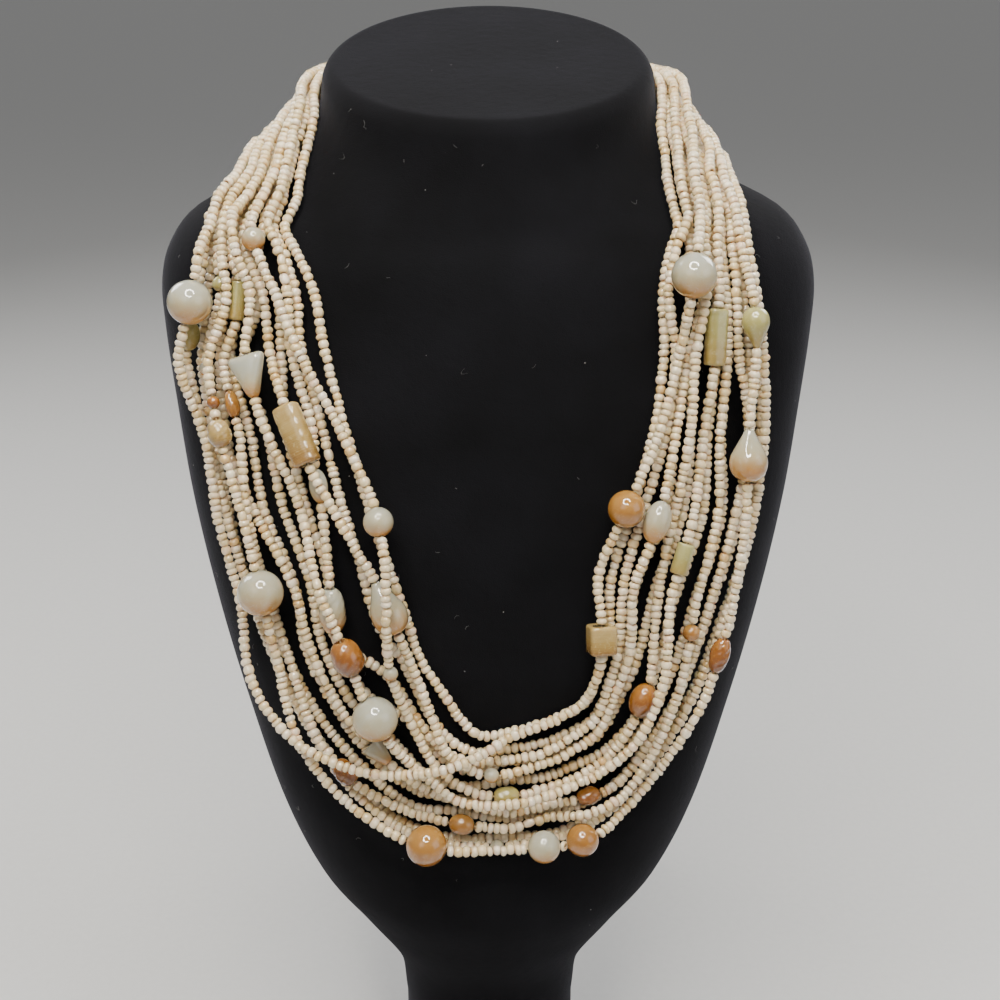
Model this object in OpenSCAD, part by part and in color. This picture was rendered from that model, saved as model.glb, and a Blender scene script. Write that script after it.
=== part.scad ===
// Multi strand necklace of seed beads and stone beads, on the plain
// neck bust that carries it. Millimetres. The origin is under the
// middle of the foot, Z is up and the chest faces -Y.

/* [Bust] */
// Height from the table to the middle of the neck top
bust_height = 342; // [325:1:355]
// Width across the shoulders
bust_width = 190; // [180:1:200]
// Depth of the chest, front to back
bust_depth = 110; // [102:1:118]
// Forward slope of the neck top, in degrees
neck_tilt = 18; // [14:1:20]
// Depth that the stem goes into the foot
stem_seat = 4; // [3:0.5:5]

/* [Foot] */
// Width of the oval foot
foot_width = 150; // [130:1:170]
// Depth of the oval foot
foot_depth = 120; // [110:1:130]
// Thickness of the oval foot
foot_thickness = 10; // [8:0.5:12]

/* [Strands] */
// Diameter of a string of seed beads
strand_diameter = 2.7; // [2.4:0.1:2.8]
// Diameter of the bare thread inside a stone bead
thread_diameter = 0.6; // [0.5:0.1:0.7]

/* [Stone beads] */
// Diameter of the largest round bead
stone_size = 12.5; // [11.5:0.5:13]
// Diameter of the hole through a stone bead
bore_diameter = 1.2; // [1.1:0.1:1.4]

/* [Clasp] */
// Length of the clasp along the necklace
clasp_length = 9; // [8:0.5:11]
// Thickness of the clasp
clasp_thickness = 9; // [8:0.5:11]

/* [Fit] */
// Gap between pieces that rest on each other
piece_gap = 0.3; // [0.25:0.05:0.35]

/* [Hidden] */
// Sections of the bust from the stem to the neck top. Height in percent of
// the bust's height; half width in percent of half the bust's width; middle
// in percent of the depth, to the back; front and back in percent of half
// the depth.
bust_sections = [
    // height, half width, middle, front, back
    [ 18,  27.5,  0, 44,  48],
    [ 23,  30.5,  1, 50,  52],
    [ 28,  44,    4, 68,  70],
    [ 32,  56,    6, 79,  84],
    [ 38,  67,   10, 86,  95],
    [ 47,  77,   14, 89, 102],
    [ 56,  85,   17, 91, 105],
    [ 65,  91.5, 21, 91, 104],
    [ 73,  95.5, 25, 86,  98],
    [ 79,  98,   28, 79,  89],
    [ 83,  98.5, 30, 74,  81],
    [ 86,  95.5, 32, 71,  75],
    [ 88.5, 88,  35, 69,  71],
    [ 91,  69,   38, 70,  70],
    [ 95,  53,   42, 72,  72],
    [100,  49,   44, 71,  77]
];
// Heights, in percent, of the rings that make the bust's surface
bust_rings = [18, 21, 24, 27, 30, 33, 37, 42, 48, 55, 63, 70, 76, 80,
              82.5, 84.5, 86, 87.5, 89, 90.5, 92, 94, 96.5, 98.8, 99.6, 100];
bust_sides = 32;
lip_percent = 98.8;    // where the rounded edge of the neck top begins
lip_shrink = 0.93;     // size of the flat of the neck top
tilt_start = 83;       // height, in percent, where the neck begins to tilt

// The band that the strands fill, from the clasp's left side round the front
// to its right side. Turn is the angle round the bust from the front, in
// degrees, and height is in percent of the bust's height. Lift is the room
// under the lowest strands, in percent of their diameter, more where the
// bust curves under them.
band = [
    // place, inner turn, inner height, outer turn, outer height, lift
    [ 0,  -174, 97.2,  -174, 91.2, 30],
    [ 1,  -149, 97.2,  -149, 91.2, 30],
    [ 2,  -123, 97.3,  -124,   91, 30],
    [ 3,   -98, 97.5,  -106, 90.9, 25],
    [ 4,   -80, 96.7,   -97, 90.9, 15],
    [ 5,   -68, 94.1,   -81, 90.5, 15],
    [ 6,   -47, 90.5,   -60, 88.3, 35],
    [ 7, -30.5, 85.5,   -53,   84, 30],
    [ 8,   -26, 79.8,   -57, 77.5, 12],
    [ 9, -22.5, 73.5, -55.5, 70.5, 10],
    [10, -17.5,   67,   -53, 62.5, 10],
    [11,   -15, 61.5,   -49,   55, 10],
    [12,   -11,   57,   -41, 48.5, 10],
    [13,    -5, 53.3,   -27, 42.8, 15],
    [14,    -1,   51,   -10,   41, 15],
    [15,     6, 51.5,     8,   41, 15],
    [16,    13, 52.3,    20, 41.5, 15],
    [17,    19, 53.5,    32, 43.5, 15],
    [18,    21, 57.5,    44,   49, 15],
    [19,    21,   63,    52,   58, 15],
    [20,    25, 69.5,    56, 67.5, 15],
    [21,    29, 76.5,    53,   76, 12],
    [22,    29, 82.5,    49,   82, 20],
    [23,    33, 87.3,    50, 86.8, 35],
    [24,    46, 90.8,    59, 89.1, 30],
    [25,    64, 94.2,    80, 90.6, 15],
    [26,    79, 96.7,    97, 90.9, 15],
    [27,    98, 97.5,   106, 90.9, 25],
    [28,   123, 97.3,   124,   91, 30],
    [29,   149, 97.2,   149, 91.2, 30],
    [30,   174, 97.2,   174, 91.2, 30]
];
// Places of the rings along every strand, closer where it bends more
ring_places = [0, 0.7, 1.4, 2.1, 2.8, 3.5, 4.2, 4.9, 5.5, 6, 6.4, 6.8, 7.3,
               8, 8.8, 9.6, 10.4, 11.2, 12, 12.7, 13.4, 14.1, 14.8, 15.5,
               16.2, 16.9, 17.5, 18.2, 19, 19.8, 20.6, 21.4, 22.2, 22.9,
               23.4, 23.8, 24.3, 24.9, 25.6, 26.3, 27, 27.7, 28.5, 29.3, 30];
strand_sides = 8;
rule_steps = 3;        // points tested between two rings
gather_end = 6.8;      // place where the lanes start to gather for the neck
gather_run = 1.8;      // places that they take for it
gather_slack = 1.3;    // more gap behind the neck, where the lanes fan out
push_share = 0.5;      // how far a stone bead pushes lower strands aside
push_reach = 3;        // how far along, in strands, beyond the bead

// The strands, from the bottom of the pile to its top. Each is a list of
// turning points: place along the band, and lane across it in percent from
// the inner edge to the outer edge.
strands = [
    [[0, 0], [5, 4], [8, 4], [11, 6], [13, 8], [15, 10], [18, 6], [21, 4],
     [25, 4], [30, 0]],
    [[0, 17], [5, 18], [8, 20], [11, 20], [13, 24], [15, 26], [18, 22],
     [21, 20], [25, 18], [30, 17]],
    [[0, 33], [5, 34], [8, 36], [11, 38], [13, 38], [15, 40], [18, 36],
     [21, 34], [25, 34], [30, 33]],
    [[0, 50], [5, 50], [8, 54], [11, 52], [13, 56], [15, 55], [18, 52],
     [21, 50], [25, 50], [30, 50]],
    [[0, 67], [5, 66], [8, 68], [11, 66], [13, 70], [15, 70], [18, 68],
     [21, 66], [25, 66], [30, 67]],
    [[0, 83], [5, 82], [8, 82], [11, 84], [13, 84], [15, 84], [18, 84],
     [21, 84], [25, 82], [30, 83]],
    [[0, 100], [5, 98], [8, 98], [11, 98], [13, 97], [15, 98], [18, 100],
     [21, 99], [25, 98], [30, 100]],
    [[0, 8], [5, 10], [7, 22], [9.4, 27], [10.8, 33], [13, 31], [15, 32],
     [18, 14], [21, 12], [25, 10], [30, 8]],
    [[0, 92], [5, 92], [7.7, 100], [10, 92], [12, 92], [14.7, 101], [17, 94],
     [19, 95], [21, 92], [25, 92], [30, 92]],
    [[0, 75], [5, 74], [7.1, 81], [8.1, 83], [10.5, 62], [12.6, 59],
     [14.5, 70], [16.3, 78], [18, 78], [21, 75], [25, 74], [30, 75]],
    [[0, 58], [5, 58], [7.3, 65], [8.5, 66], [10.5, 74], [12.5, 84],
     [14.2, 85], [15.9, 86], [17.5, 78], [18.8, 63], [21, 58], [25, 58],
     [30, 58]],
    [[0, 42], [5, 42], [7.9, 41], [8.9, 27], [11, 8], [12.5, 16], [14.5, 39],
     [16, 36], [18, 22], [19.7, 12], [22, 28], [25, 42], [30, 42]],
    [[0, 25], [5, 26], [6.7, 35], [8.3, 12], [9.9, -2], [11, 4], [11.9, 21],
     [13, 36], [14.7, 58], [16.2, 58], [17.9, 45], [20, 26], [22, 26],
     [25, 26], [30, 25]],
    [[0, 67], [5, 66], [7, 70], [8.8, 69], [10.4, 71], [12, 88], [13.8, 94],
     [15.3, 96], [17, 96], [18.7, 91], [20.4, 67], [21.8, 79], [24, 74],
     [26, 67], [30, 67]],
    [[0, 50], [5, 50], [7, 50], [8.2, 46], [10, 36], [11.4, 31], [12.3, 39],
     [14, 54], [15, 58], [17, 54], [19.4, 37], [21.6, 43], [24, 50],
     [30, 50]],
    [[0, 83], [4, 83], [6, 80], [7.3, 86], [9, 92], [10.4, 95], [11.3, 92],
     [12.3, 79], [13.1, 46], [14, 16], [15, 8], [16.5, 4], [18.1, -3],
     [19.8, -3], [21, 6], [22.4, 14], [24, 18], [26, 17], [30, 17]]
];

// The stone beads. Strand is its number from the bottom of the pile, place
// is where it sits along the band, and length and width are in percent of
// the largest round bead's diameter. The rows go in order of place.
stones = [
    // name, shape, strand, place, length, width
    ["round_stone_3",   "round",  13,  6.66,  51,  51],
    ["round_stone_2",   "round",  10,  7.1,   34,  34],
    ["round_stone_1",   "round",  16,  7.33,  95,  95],
    ["tube_stone_1",    "tube",   11,  7.33,  82,  32],
    ["oval_stone_1",    "oval",    9,  7.67,  64,  47],
    ["round_stone_16",  "round",  10,  8.07,  34,  34],
    ["drop_stone_1",    "wedge",  15,  8.22,  92,  85],
    ["round_stone_4",   "round",  14,  8.45,  28,  28],
    ["nugget_stone_1",  "nugget", 11,  8.49,  58,  38],
    ["nugget_stone_2",  "nugget", 14,  8.77,  60,  62],
    ["ribbed_stone_1",  "ribbed", 12,  8.9,  134,  58],
    ["oval_stone_2",    "oval",    8,  9.45,  72,  40],
    ["round_stone_5",   "round",  13,  9.92,  64,  64],
    ["round_stone_6",   "round",  14, 10.36, 100, 100],
    ["nugget_stone_3",  "nugget",  8, 10.8,  100,  72],
    ["drop_stone_2",    "drop",   12, 11,    120,  78],
    ["nugget_stone_4",  "nugget", 15, 11.38,  80,  84],
    ["round_stone_15",  "round",  13, 11.86,  32,  32],
    ["round_stone_7",   "round",  15, 12.26,  98,  98],
    ["nugget_stone_5",  "nugget", 11, 12.53,  64,  60],
    ["cone_stone_1",    "cone",   10, 12.64,  58,  55],
    ["round_stone_8",   "round",  14, 13.82,  90,  90],
    ["oval_stone_3",    "oval",   11, 14.17,  56,  46],
    ["round_stone_17",  "round",  12, 14.46,  34,  34],
    ["round_stone_9",   "round",   9, 14.65,  32,  32],
    ["nugget_stone_6",  "nugget", 13, 14.74,  56,  50],
    ["round_stone_10",  "round",  14, 15.29,  72,  72],
    ["round_stone_11",  "round",  14, 16,     72,  72],
    ["nugget_stone_7",  "nugget", 10, 16.34,  52,  50],
    ["oval_stone_4",    "oval",   13, 17.85,  80,  60],
    ["cube_stone_1",    "cube",   16, 18.14,  62,  60],
    ["nugget_stone_8",  "nugget", 14, 18.68,  80,  54],
    ["round_stone_13",  "round",  11, 18.75,  38,  38],
    ["tube_stone_2",    "tube",   15, 19.4,   68,  38],
    ["oval_stone_5",    "oval",   12, 19.71,  92,  58],
    ["round_stone_12",  "round",  16, 19.8,   80,  80],
    ["drop_stone_4",    "tear",   14, 20.38, 114,  82],
    ["ribbed_stone_2",  "ribbed", 15, 21.63, 120,  46],
    ["drop_stone_3",    "drop",   14, 21.75,  86,  60],
    ["round_stone_14",  "round",  16, 22.38,  95,  95]
];
// Half outline of a drop bead: along and out, in percent of its half length
// and half width. Its point is at the start.
drop_outline = [[-100, 22], [-80, 34], [-50, 56], [-20, 80], [10, 97],
                [35, 100], [60, 92], [80, 74], [93, 50], [100, 26]];
// Half outline of a flat triangular bead, its broad end at the start
wedge_outline = [[-100, 82], [-94, 94], [-84, 100], [-60, 92], [40, 46],
                 [80, 28], [94, 22], [100, 17]];
wedge_thickness = 0.5;  // as a share of the bead's width
// Rings of a nugget: along and out, in percent of half length and half width
nugget_rings = [[-100, 45], [-62, 86], [0, 100], [58, 90], [100, 50]];
// Shares of a nugget's radius round it, in percent, one for each side
nugget_sides = [100, 88, 96, 84, 100, 90, 94];
rib_count = 5;
rib_depth = 0.12;      // depth of the groove, as a share of the width
strand_r = strand_diameter / 2;
thread_r = thread_diameter / 2;
pitch = strand_diameter + piece_gap;

// Reading a table: a smooth curve through its rows
function row_of(t, x, i = 0) =
    i >= len(t) - 2 || x < t[i + 1][0] ? i : row_of(t, x, i + 1);
function slope(t, i, c) =
    let (a = max(i - 1, 0), b = min(i + 1, len(t) - 1))
    (t[b][c] - t[a][c]) / (t[b][0] - t[a][0]);
function curve(t, x, c) =
    let (i = row_of(t, x),
         h = t[i + 1][0] - t[i][0],
         s = (x - t[i][0]) / h)
    (1 + 2 * s) * pow(1 - s, 2) * t[i][c]
    + s * pow(1 - s, 2) * h * slope(t, i, c)
    + s * s * (3 - 2 * s) * t[i + 1][c]
    + s * s * (s - 1) * h * slope(t, i + 1, c);
function unit(v) = v / norm(v);
function mix(a, b, s) = a + (b - a) * s;

// The bust's surface
// turn in degrees from the front, level in percent of the height
function tilt_share(level) =
    let (s = min(max((level - tilt_start) / (100 - tilt_start), 0), 1))
    s * s * (3 - 2 * s);
function on_bust(turn, level) =
    let (half = curve(bust_sections, level, 1) / 100 * bust_width / 2,
         mid = curve(bust_sections, level, 2) / 100 * bust_depth,
         reach = curve(bust_sections, level, cos(turn) > 0 ? 3 : 4)
                 / 100 * bust_depth / 2,
         back = -reach * cos(turn))
    [half * sin(turn), mid + back,
     level / 100 * bust_height + back * tan(neck_tilt) * tilt_share(level)];
function out_of_bust(turn, level, foot) =
    unit(cross(on_bust(turn + 0.1, level) - foot,
               on_bust(turn, level + 0.02) - foot));
function over_bust(turn, level, height) =
    let (foot = on_bust(turn, level))
    foot + height * out_of_bust(turn, level, foot);

// The band and its lanes
function band_turn(place, lane) =
    mix(curve(band, place, 1), curve(band, place, 3), lane / 100);
function band_level(place, lane) =
    mix(curve(band, place, 2), curve(band, place, 4), lane / 100);
// Behind the neck all lanes pile up the same way, square to the middle lane
function gather(place) =
    let (s = min(max((gather_end - min(place, 30 - place)) / gather_run, 0),
                 1))
    s * s * (3 - 2 * s);
function on_band(place, lane) =
    on_bust(band_turn(place, lane), band_level(place, lane));
function out_at(place, lane, foot) =
    out_of_bust(band_turn(place, lane), band_level(place, lane), foot);
function out_of_band(place, lane, foot) =
    let (g = gather(place), own = out_at(place, lane, foot))
    g == 0 ? own : unit(mix(own, out_at(place, 50, on_band(place, 50)), g));
function in_band(place, lane, height) =
    let (foot = on_band(place, lane))
    foot + height * out_of_band(place, lane, foot);
// Width square to the way that the strands run
function band_width(place) =
    norm(cross(in_band(place, 100, strand_r) - in_band(place, 0, strand_r),
               unit(in_band(place + 0.1, 50, strand_r)
                    - in_band(place - 0.1, 50, strand_r))));
function lane_of(i, place) = curve(strands[i], place, 1);
function step_length(i, place) =
    norm(in_band(place + 0.1, lane_of(i, place), strand_r)
         - in_band(place - 0.1, lane_of(i, place), strand_r)) / 0.2;

// The pile: each strand lies on the bust and on the strands below
stones_on = [for (i = [0 : len(strands) - 1])
    [for (s = stones) if (s[2] == i + 1)
        [s[3], s[4] / 200 * stone_size,
         s[5] / 200 * stone_size * (s[1] == "cube" ? sqrt(2) : 1),
         step_length(i, s[3])]]];
// Radius of strand i at a place: its seed beads, or its stone bead
function stone_room(d, along, half_width) =
    d > along + pitch ? 0
    : d < along * 0.6 ? half_width
    : half_width * (1 - pow((d - along * 0.6) / (along * 0.4 + pitch), 2));
function room_of(i, place) =
    max(concat([strand_r], [for (s = stones_on[i])
        stone_room(abs(place - s[0]) * s[3], s[1], s[2])]));

// A stone bead pushes the strands below it aside, but none off the band
function push_fade(d, along) =
    let (far = along + push_reach * pitch)
    d >= far ? 0
    : d < along / 2 ? 1
    : 1 - pow((d - along / 2) / (far - along / 2), 2);
function one_push(lane, other, room, half_width, fade, wide) =
    let (across = (lane - other) / 100 * wide,
         clear = (half_width + room + piece_gap) * fade * fade,
         way = across >= 0 ? 1 : -1)
    way * (sqrt(across * across + clear * clear) - abs(across)) / wide * 100;
function total(list, k = 0, sum = 0) =
    k == len(list) ? sum : total(list, k + 1, sum + list[k]);
function lane_at(i, place, wide) =
    let (lane = lane_of(i, place),
         free = 1 - pow(min(abs(lane / 50 - 1), 1), 4))
    lane + push_share * free * total(
        [for (j = [i + 1 : 1 : len(strands) - 1]) for (s = stones_on[j])
            let (fade = push_fade(abs(place - s[0]) * s[3], s[1]))
            if (fade > 0)
                one_push(lane, lane_of(j, place), room_of(i, place), s[2],
                         fade, wide)]);

rings_n = len(ring_places);
rule_n = (rings_n - 1) * rule_steps + 1;
function between(list, r) =
    let (k = min(floor(r / rule_steps), rings_n - 2),
         s = r / rule_steps - k)
    mix(list[k], list[k + 1], s);
rule_places = [for (r = [0 : rule_n - 1]) between(ring_places, r)];
rule_ways = [for (p = rule_places)
    unit(in_band(p + 0.1, 50, pitch) - in_band(p - 0.1, 50, pitch))];
rule_lifts = [for (p = rule_places)
    piece_gap + curve(band, p, 5) / 100 * strand_diameter];
rule_slack = [for (p = rule_places) piece_gap * gather_slack * gather(p)];
ring_widths = [for (p = ring_places) band_width(p)];
ring_lanes = [for (i = [0 : len(strands) - 1])
    [for (k = [0 : rings_n - 1])
        lane_at(i, ring_places[k], ring_widths[k])]];
rule_lanes = [for (l = ring_lanes) [for (r = [0 : rule_n - 1]) between(l, r)]];
rule_rooms = [for (i = [0 : len(strands) - 1])
    [for (p = rule_places) room_of(i, p)]];
// Where each strand stands on the bust, and which way is out of the bust
rule_feet = [for (lanes = rule_lanes) [for (r = [0 : rule_n - 1])
    on_band(rule_places[r], lanes[r])]];
rule_outs = [for (i = [0 : len(strands) - 1]) [for (r = [0 : rule_n - 1])
    out_of_band(rule_places[r], rule_lanes[i][r], rule_feet[i][r])]];

// Height that clears one strand below, where both stand at test point r
function clear_of(i, j, r, heights) =
    let (apart = rule_rooms[i][r] + rule_rooms[j][r] + piece_gap,
         high = between(heights, r),
         now = rule_lanes[i][r] - rule_lanes[j][r],
         next = rule_lanes[i][min(r + 1, rule_n - 1)]
                - rule_lanes[j][min(r + 1, rule_n - 1)],
         across = now * next < 0 ? 0 : norm(cross(
             rule_feet[i][r] - rule_feet[j][r]
             + (high + apart / 2) * (rule_outs[i][r] - rule_outs[j][r]),
             rule_ways[r])))
    across < apart
    ? high + sqrt(apart * apart - across * across) + rule_slack[r] : 0;
function needed(i, r, pile) =
    max(concat([rule_rooms[i][r] + rule_lifts[r]],
               [for (j = [0 : 1 : i - 1]) clear_of(i, j, r, pile[j])]));
// A ring is as high as the tallest need up to the rings beside it
function laid(i, pile) =
    let (need = [for (r = [0 : rule_n - 1]) needed(i, r, pile)])
    [for (k = [0 : rings_n - 1])
        max([for (r = [max(0, (k - 1) * rule_steps + 1)
                       : min(rule_n - 1, (k + 1) * rule_steps - 1)])
            need[r]])];
function piled(i = 0, pile = []) =
    i == len(strands) ? pile : piled(i + 1, concat(pile, [laid(i, pile)]));
pile = piled();

// Height of strand i at any place, straight from ring to ring
function ring_before(place, k = 0) =
    k >= rings_n - 2 || place < ring_places[k + 1] ? k
    : ring_before(place, k + 1);
function strand_point(i, place) =
    let (k = ring_before(place),
         s = (place - ring_places[k]) / (ring_places[k + 1] - ring_places[k]),
         at = in_band(place, mix(ring_lanes[i][k], ring_lanes[i][k + 1], s),
                      mix(pile[i][k], pile[i][k + 1], s)))
    place == 0 ? [-clasp_length / 2 - piece_gap, at[1], at[2]]
    : place == 30 ? [clasp_length / 2 + piece_gap, at[1], at[2]]
    : at;
function strand_out(i, place) =
    out_of_band(place, lane_of(i, place), on_band(place, lane_of(i, place)));

// A stone's seat on its strand
function stone_axis(i, place, along, step) =
    let (e = (along + pitch) / step)
    unit(strand_point(i, place + e) - strand_point(i, place - e));
// A ring of the strand: point, radius, direction, outward
function stone_ends(i, s) =
    let (c = strand_point(i, s[0]),
         a = stone_axis(i, s[0], s[1], s[3]),
         o = strand_out(i, s[0]),
         e = s[1] + piece_gap)
    [[c - a * e, strand_r, a, o], [c - a * e, thread_r, a, o],
     [c + a * e, thread_r, a, o], [c + a * e, strand_r, a, o]];
function free_ring(i, k) =
    let (p = ring_places[k],
         a = strand_point(i, ring_places[max(k - 1, 0)]),
         b = strand_point(i, ring_places[min(k + 1, rings_n - 1)]))
    [strand_point(i, p), strand_r,
     k == 0 || k == rings_n - 1 ? [k == 0 ? -1 : 1, 0, 0] : unit(b - a),
     strand_out(i, p)];
function stone_reach(s) = (s[1] + pitch * 1.3) / s[3];
function strand_rings(i) =
    let (on = stones_on[i], n = len(on))
    [for (g = [0 : n]) each concat(
        [for (k = [0 : rings_n - 1])
            let (p = ring_places[k],
                 low = g == 0 ? -1 : on[g - 1][0] + stone_reach(on[g - 1]),
                 high = g == n ? 99 : on[g][0] - stone_reach(on[g]))
            if (p > low && p < high) free_ring(i, k)],
        g < n ? stone_ends(i, on[g]) : [])];

// Solids
// A skin over rings of equally many points, closed at both ends
module skin(rings) {
    n = len(rings[0]);
    m = len(rings);
    polyhedron(
        points = [for (r = rings) each r],
        faces = concat(
            [for (k = [0 : m - 2]) for (j = [0 : n - 1]) each
                [[k * n + j, (k + 1) * n + (j + 1) % n, k * n + (j + 1) % n],
                 [k * n + j, (k + 1) * n + j, (k + 1) * n + (j + 1) % n]]],
            [[for (j = [0 : n - 1]) j]],
            [[for (j = [n - 1 : -1 : 0]) (m - 1) * n + j]]));
}

// Points of a ring of a strand, round its direction
function ring_points(ring) =
    let (side = unit(cross(ring[3], ring[2])),
         over = cross(ring[2], side))
    [for (j = [0 : strand_sides - 1])
        let (a = (j + 0.5) * 360 / strand_sides)
        ring[0] + ring[1] * (cos(a) * side + sin(a) * over)];

module strand(i) {
    color("#E6DCCB")
        skin([for (r = strand_rings(i)) ring_points(r)]);
}

// Round the edge of the neck top by drawing its last rings in
function lip_at(level) =
    level <= lip_percent ? 1
    : mix(lip_shrink, 1,
          sqrt(1 - pow((level - lip_percent) / (100 - lip_percent), 2)));
function bust_ring(level) =
    let (mid = (on_bust(0, level) + on_bust(180, level)) / 2)
    [for (j = [0 : bust_sides - 1])
        mid + lip_at(level)
              * (on_bust(j * 360 / bust_sides, level) - mid)];

module bust() {
    stem = [for (p = bust_ring(bust_rings[0]))
        [p[0], p[1], foot_thickness - stem_seat + piece_gap]];
    color("#16161A")
        skin(concat([stem], [for (level = bust_rings) bust_ring(level)]));
}

function oval(half_width, half_depth, n = 72) =
    [for (j = [0 : n - 1])
        [half_width * cos(j * 360 / n), half_depth * sin(j * 360 / n)]];

module foot() {
    stem = [for (p = bust_ring(bust_rings[0])) [p[0], p[1]]];
    spread = 1 + piece_gap * 1.2 / (min([for (p = stem) norm(p)]));
    color("#1B1B1F")
        difference() {
            linear_extrude(foot_thickness)
                polygon(oval(foot_width / 2, foot_depth / 2));
            translate([0, 0, foot_thickness - stem_seat])
                linear_extrude(stem_seat + 1)
                    polygon([for (p = stem) p * spread]);
        }
}

// One plain bar that follows the back of the neck
module clasp() {
    low = band[0][4] - 1;
    high = band[0][2] + 1;
    levels = [for (s = [0 : 0.25 : 1]) mix(low, high, s)];
    inner = [for (l = levels) over_bust(180, l, piece_gap * 1.5)];
    outer = [for (l = levels)
        over_bust(180, l, piece_gap * 1.5 + clasp_thickness)];
    outline = concat(
        [for (p = inner) [p[1], p[2]]],
        [for (k = [len(outer) - 1 : -1 : 0]) [outer[k][1], outer[k][2]]]);
    color("#B08D57")
        translate([-clasp_length / 2, 0, 0])
            rotate([90, 0, 90])
                linear_extrude(clasp_length)
                    polygon(outline);
}

// Stone beads, made along Z round the origin
module stone_bore(along) {
    cylinder(d = bore_diameter, h = along * 2 + 2, center = true, $fn = 24);
}

module round_shape(wide) {
    sphere(r = wide, $fn = 48);
}

module turned_shape(outline) {
    rotate_extrude($fn = 48)
        polygon(concat([[0, outline[0][1]]], outline,
                       [[0, outline[len(outline) - 1][1]]]));
}

module oval_shape(along, wide) {
    turned_shape([for (a = [-80 : 16 : 80])
        [wide * cos(a), along * sin(a) / sin(80)]]);
}

module drop_shape(along, wide) {
    turned_shape([for (p = drop_outline)
        [p[1] / 100 * wide, p[0] / 100 * along]]);
}

// A flat triangular bead with rounded corners, its face outward
module wedge_shape(along, wide) {
    right = [for (p = wedge_outline) [p[1] / 100 * wide, p[0] / 100 * along]];
    left = [for (k = [len(right) - 1 : -1 : 0]) [-right[k][0], right[k][1]]];
    rotate([90, 0, 0])
        linear_extrude(2 * wide * wedge_thickness, center = true)
            polygon(concat(right, left));
}

module cone_shape(along, wide) {
    turned_shape([[wide * 0.86, -along], [wide, -along * 0.8],
                  [wide * 0.42, along * 0.9], [wide * 0.3, along]]);
}

module tube_shape(along, wide) {
    edge = wide * 0.2;
    turned_shape([[wide - edge, -along], [wide, -along + edge],
                  [wide, along - edge], [wide - edge, along]]);
}

module ribbed_shape(along, wide) {
    rib = 2 * along / rib_count;
    groove = 2 * wide * rib_depth;
    turned_shape([for (k = [0 : rib_count - 1]) each
        [[wide - groove, -along + rib * k + rib * 0.04],
         [wide - groove * 0.2, -along + rib * (k + 0.2)],
         [wide, -along + rib * (k + 0.5)],
         [wide - groove * 0.2, -along + rib * (k + 0.8)],
         [wide - groove, -along + rib * (k + 0.96)]]]);
}

module cube_shape(along, wide) {
    cube([2 * wide, 2 * wide, 2 * along], center = true);
}

// Faceted lump: each ring of corners is turned half a side from the last
module nugget_shape(along, wide) {
    n = len(nugget_sides);
    skin([for (k = [0 : len(nugget_rings) - 1])
        [for (j = [0 : n - 1])
            let (a = (j + k / 2) * 360 / n,
                 out = nugget_rings[k][1] / 100 * wide
                       * nugget_sides[(j + k * 3) % n] / 100)
            [out * cos(a), out * sin(a), nugget_rings[k][0] / 100 * along]]]);
}

module stone_shape(shape, along, wide) {
    if (shape == "round") round_shape(wide);
    if (shape == "oval") oval_shape(along, wide);
    if (shape == "drop") drop_shape(along, wide);
    if (shape == "tear") mirror([0, 0, 1]) drop_shape(along, wide);
    if (shape == "wedge") wedge_shape(along, wide);
    if (shape == "cone") cone_shape(along, wide);
    if (shape == "tube") tube_shape(along, wide);
    if (shape == "ribbed") ribbed_shape(along, wide);
    if (shape == "cube") cube_shape(along, wide);
    if (shape == "nugget") nugget_shape(along, wide);
}

// The bead of that name, drilled, with its bore along its strand
module stone(name) {
    row = stones[search([name], stones)[0]];
    i = row[2] - 1;
    along = row[4] / 200 * stone_size;
    wide = row[5] / 200 * stone_size;
    at = strand_point(i, row[3]);
    a = stone_axis(i, row[3], along, step_length(i, row[3]));
    side = unit(cross(strand_out(i, row[3]), a));
    over = cross(a, side);
    multmatrix([[side[0], over[0], a[0], at[0]],
                [side[1], over[1], a[1], at[1]],
                [side[2], over[2], a[2], at[2]],
                [0, 0, 0, 1]])
        difference() {
            stone_shape(row[1], along, wide);
            stone_bore(along);
        }
}

module white_stone(name) { color("#E9E4DA") stone(name); }
module peach_stone(name) { color("#DDB07E") stone(name); }
module orange_stone(name) { color("#C98A4B") stone(name); }
module tan_stone(name) { color("#C9B07F") stone(name); }
module green_stone(name) { color("#C5C69A") stone(name); }

bust();
foot();
clasp();
strand(0);  // strand_01
strand(1);  // strand_02
strand(2);  // strand_03
strand(3);  // strand_04
strand(4);  // strand_05
strand(5);  // strand_06
strand(6);  // strand_07
strand(7);  // strand_08
strand(8);  // strand_09
strand(9);  // strand_10
strand(10);  // strand_11
strand(11);  // strand_12
strand(12);  // strand_13
strand(13);  // strand_14
strand(14);  // strand_15
strand(15);  // strand_16
white_stone("round_stone_1");  // round_stone_1
green_stone("round_stone_2");  // round_stone_2
white_stone("round_stone_3");  // round_stone_3
orange_stone("round_stone_4");  // round_stone_4
white_stone("round_stone_5");  // round_stone_5
white_stone("round_stone_6");  // round_stone_6
white_stone("round_stone_7");  // round_stone_7
peach_stone("round_stone_8");  // round_stone_8
white_stone("round_stone_9");  // round_stone_9
white_stone("round_stone_10");  // round_stone_10
peach_stone("round_stone_11");  // round_stone_11
peach_stone("round_stone_12");  // round_stone_12
peach_stone("round_stone_13");  // round_stone_13
white_stone("round_stone_14");  // round_stone_14
white_stone("round_stone_15");  // round_stone_15
white_stone("round_stone_16");  // round_stone_16
white_stone("round_stone_17");  // round_stone_17
green_stone("oval_stone_1");  // oval_stone_1
white_stone("oval_stone_2");  // oval_stone_2
peach_stone("oval_stone_3");  // oval_stone_3
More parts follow.
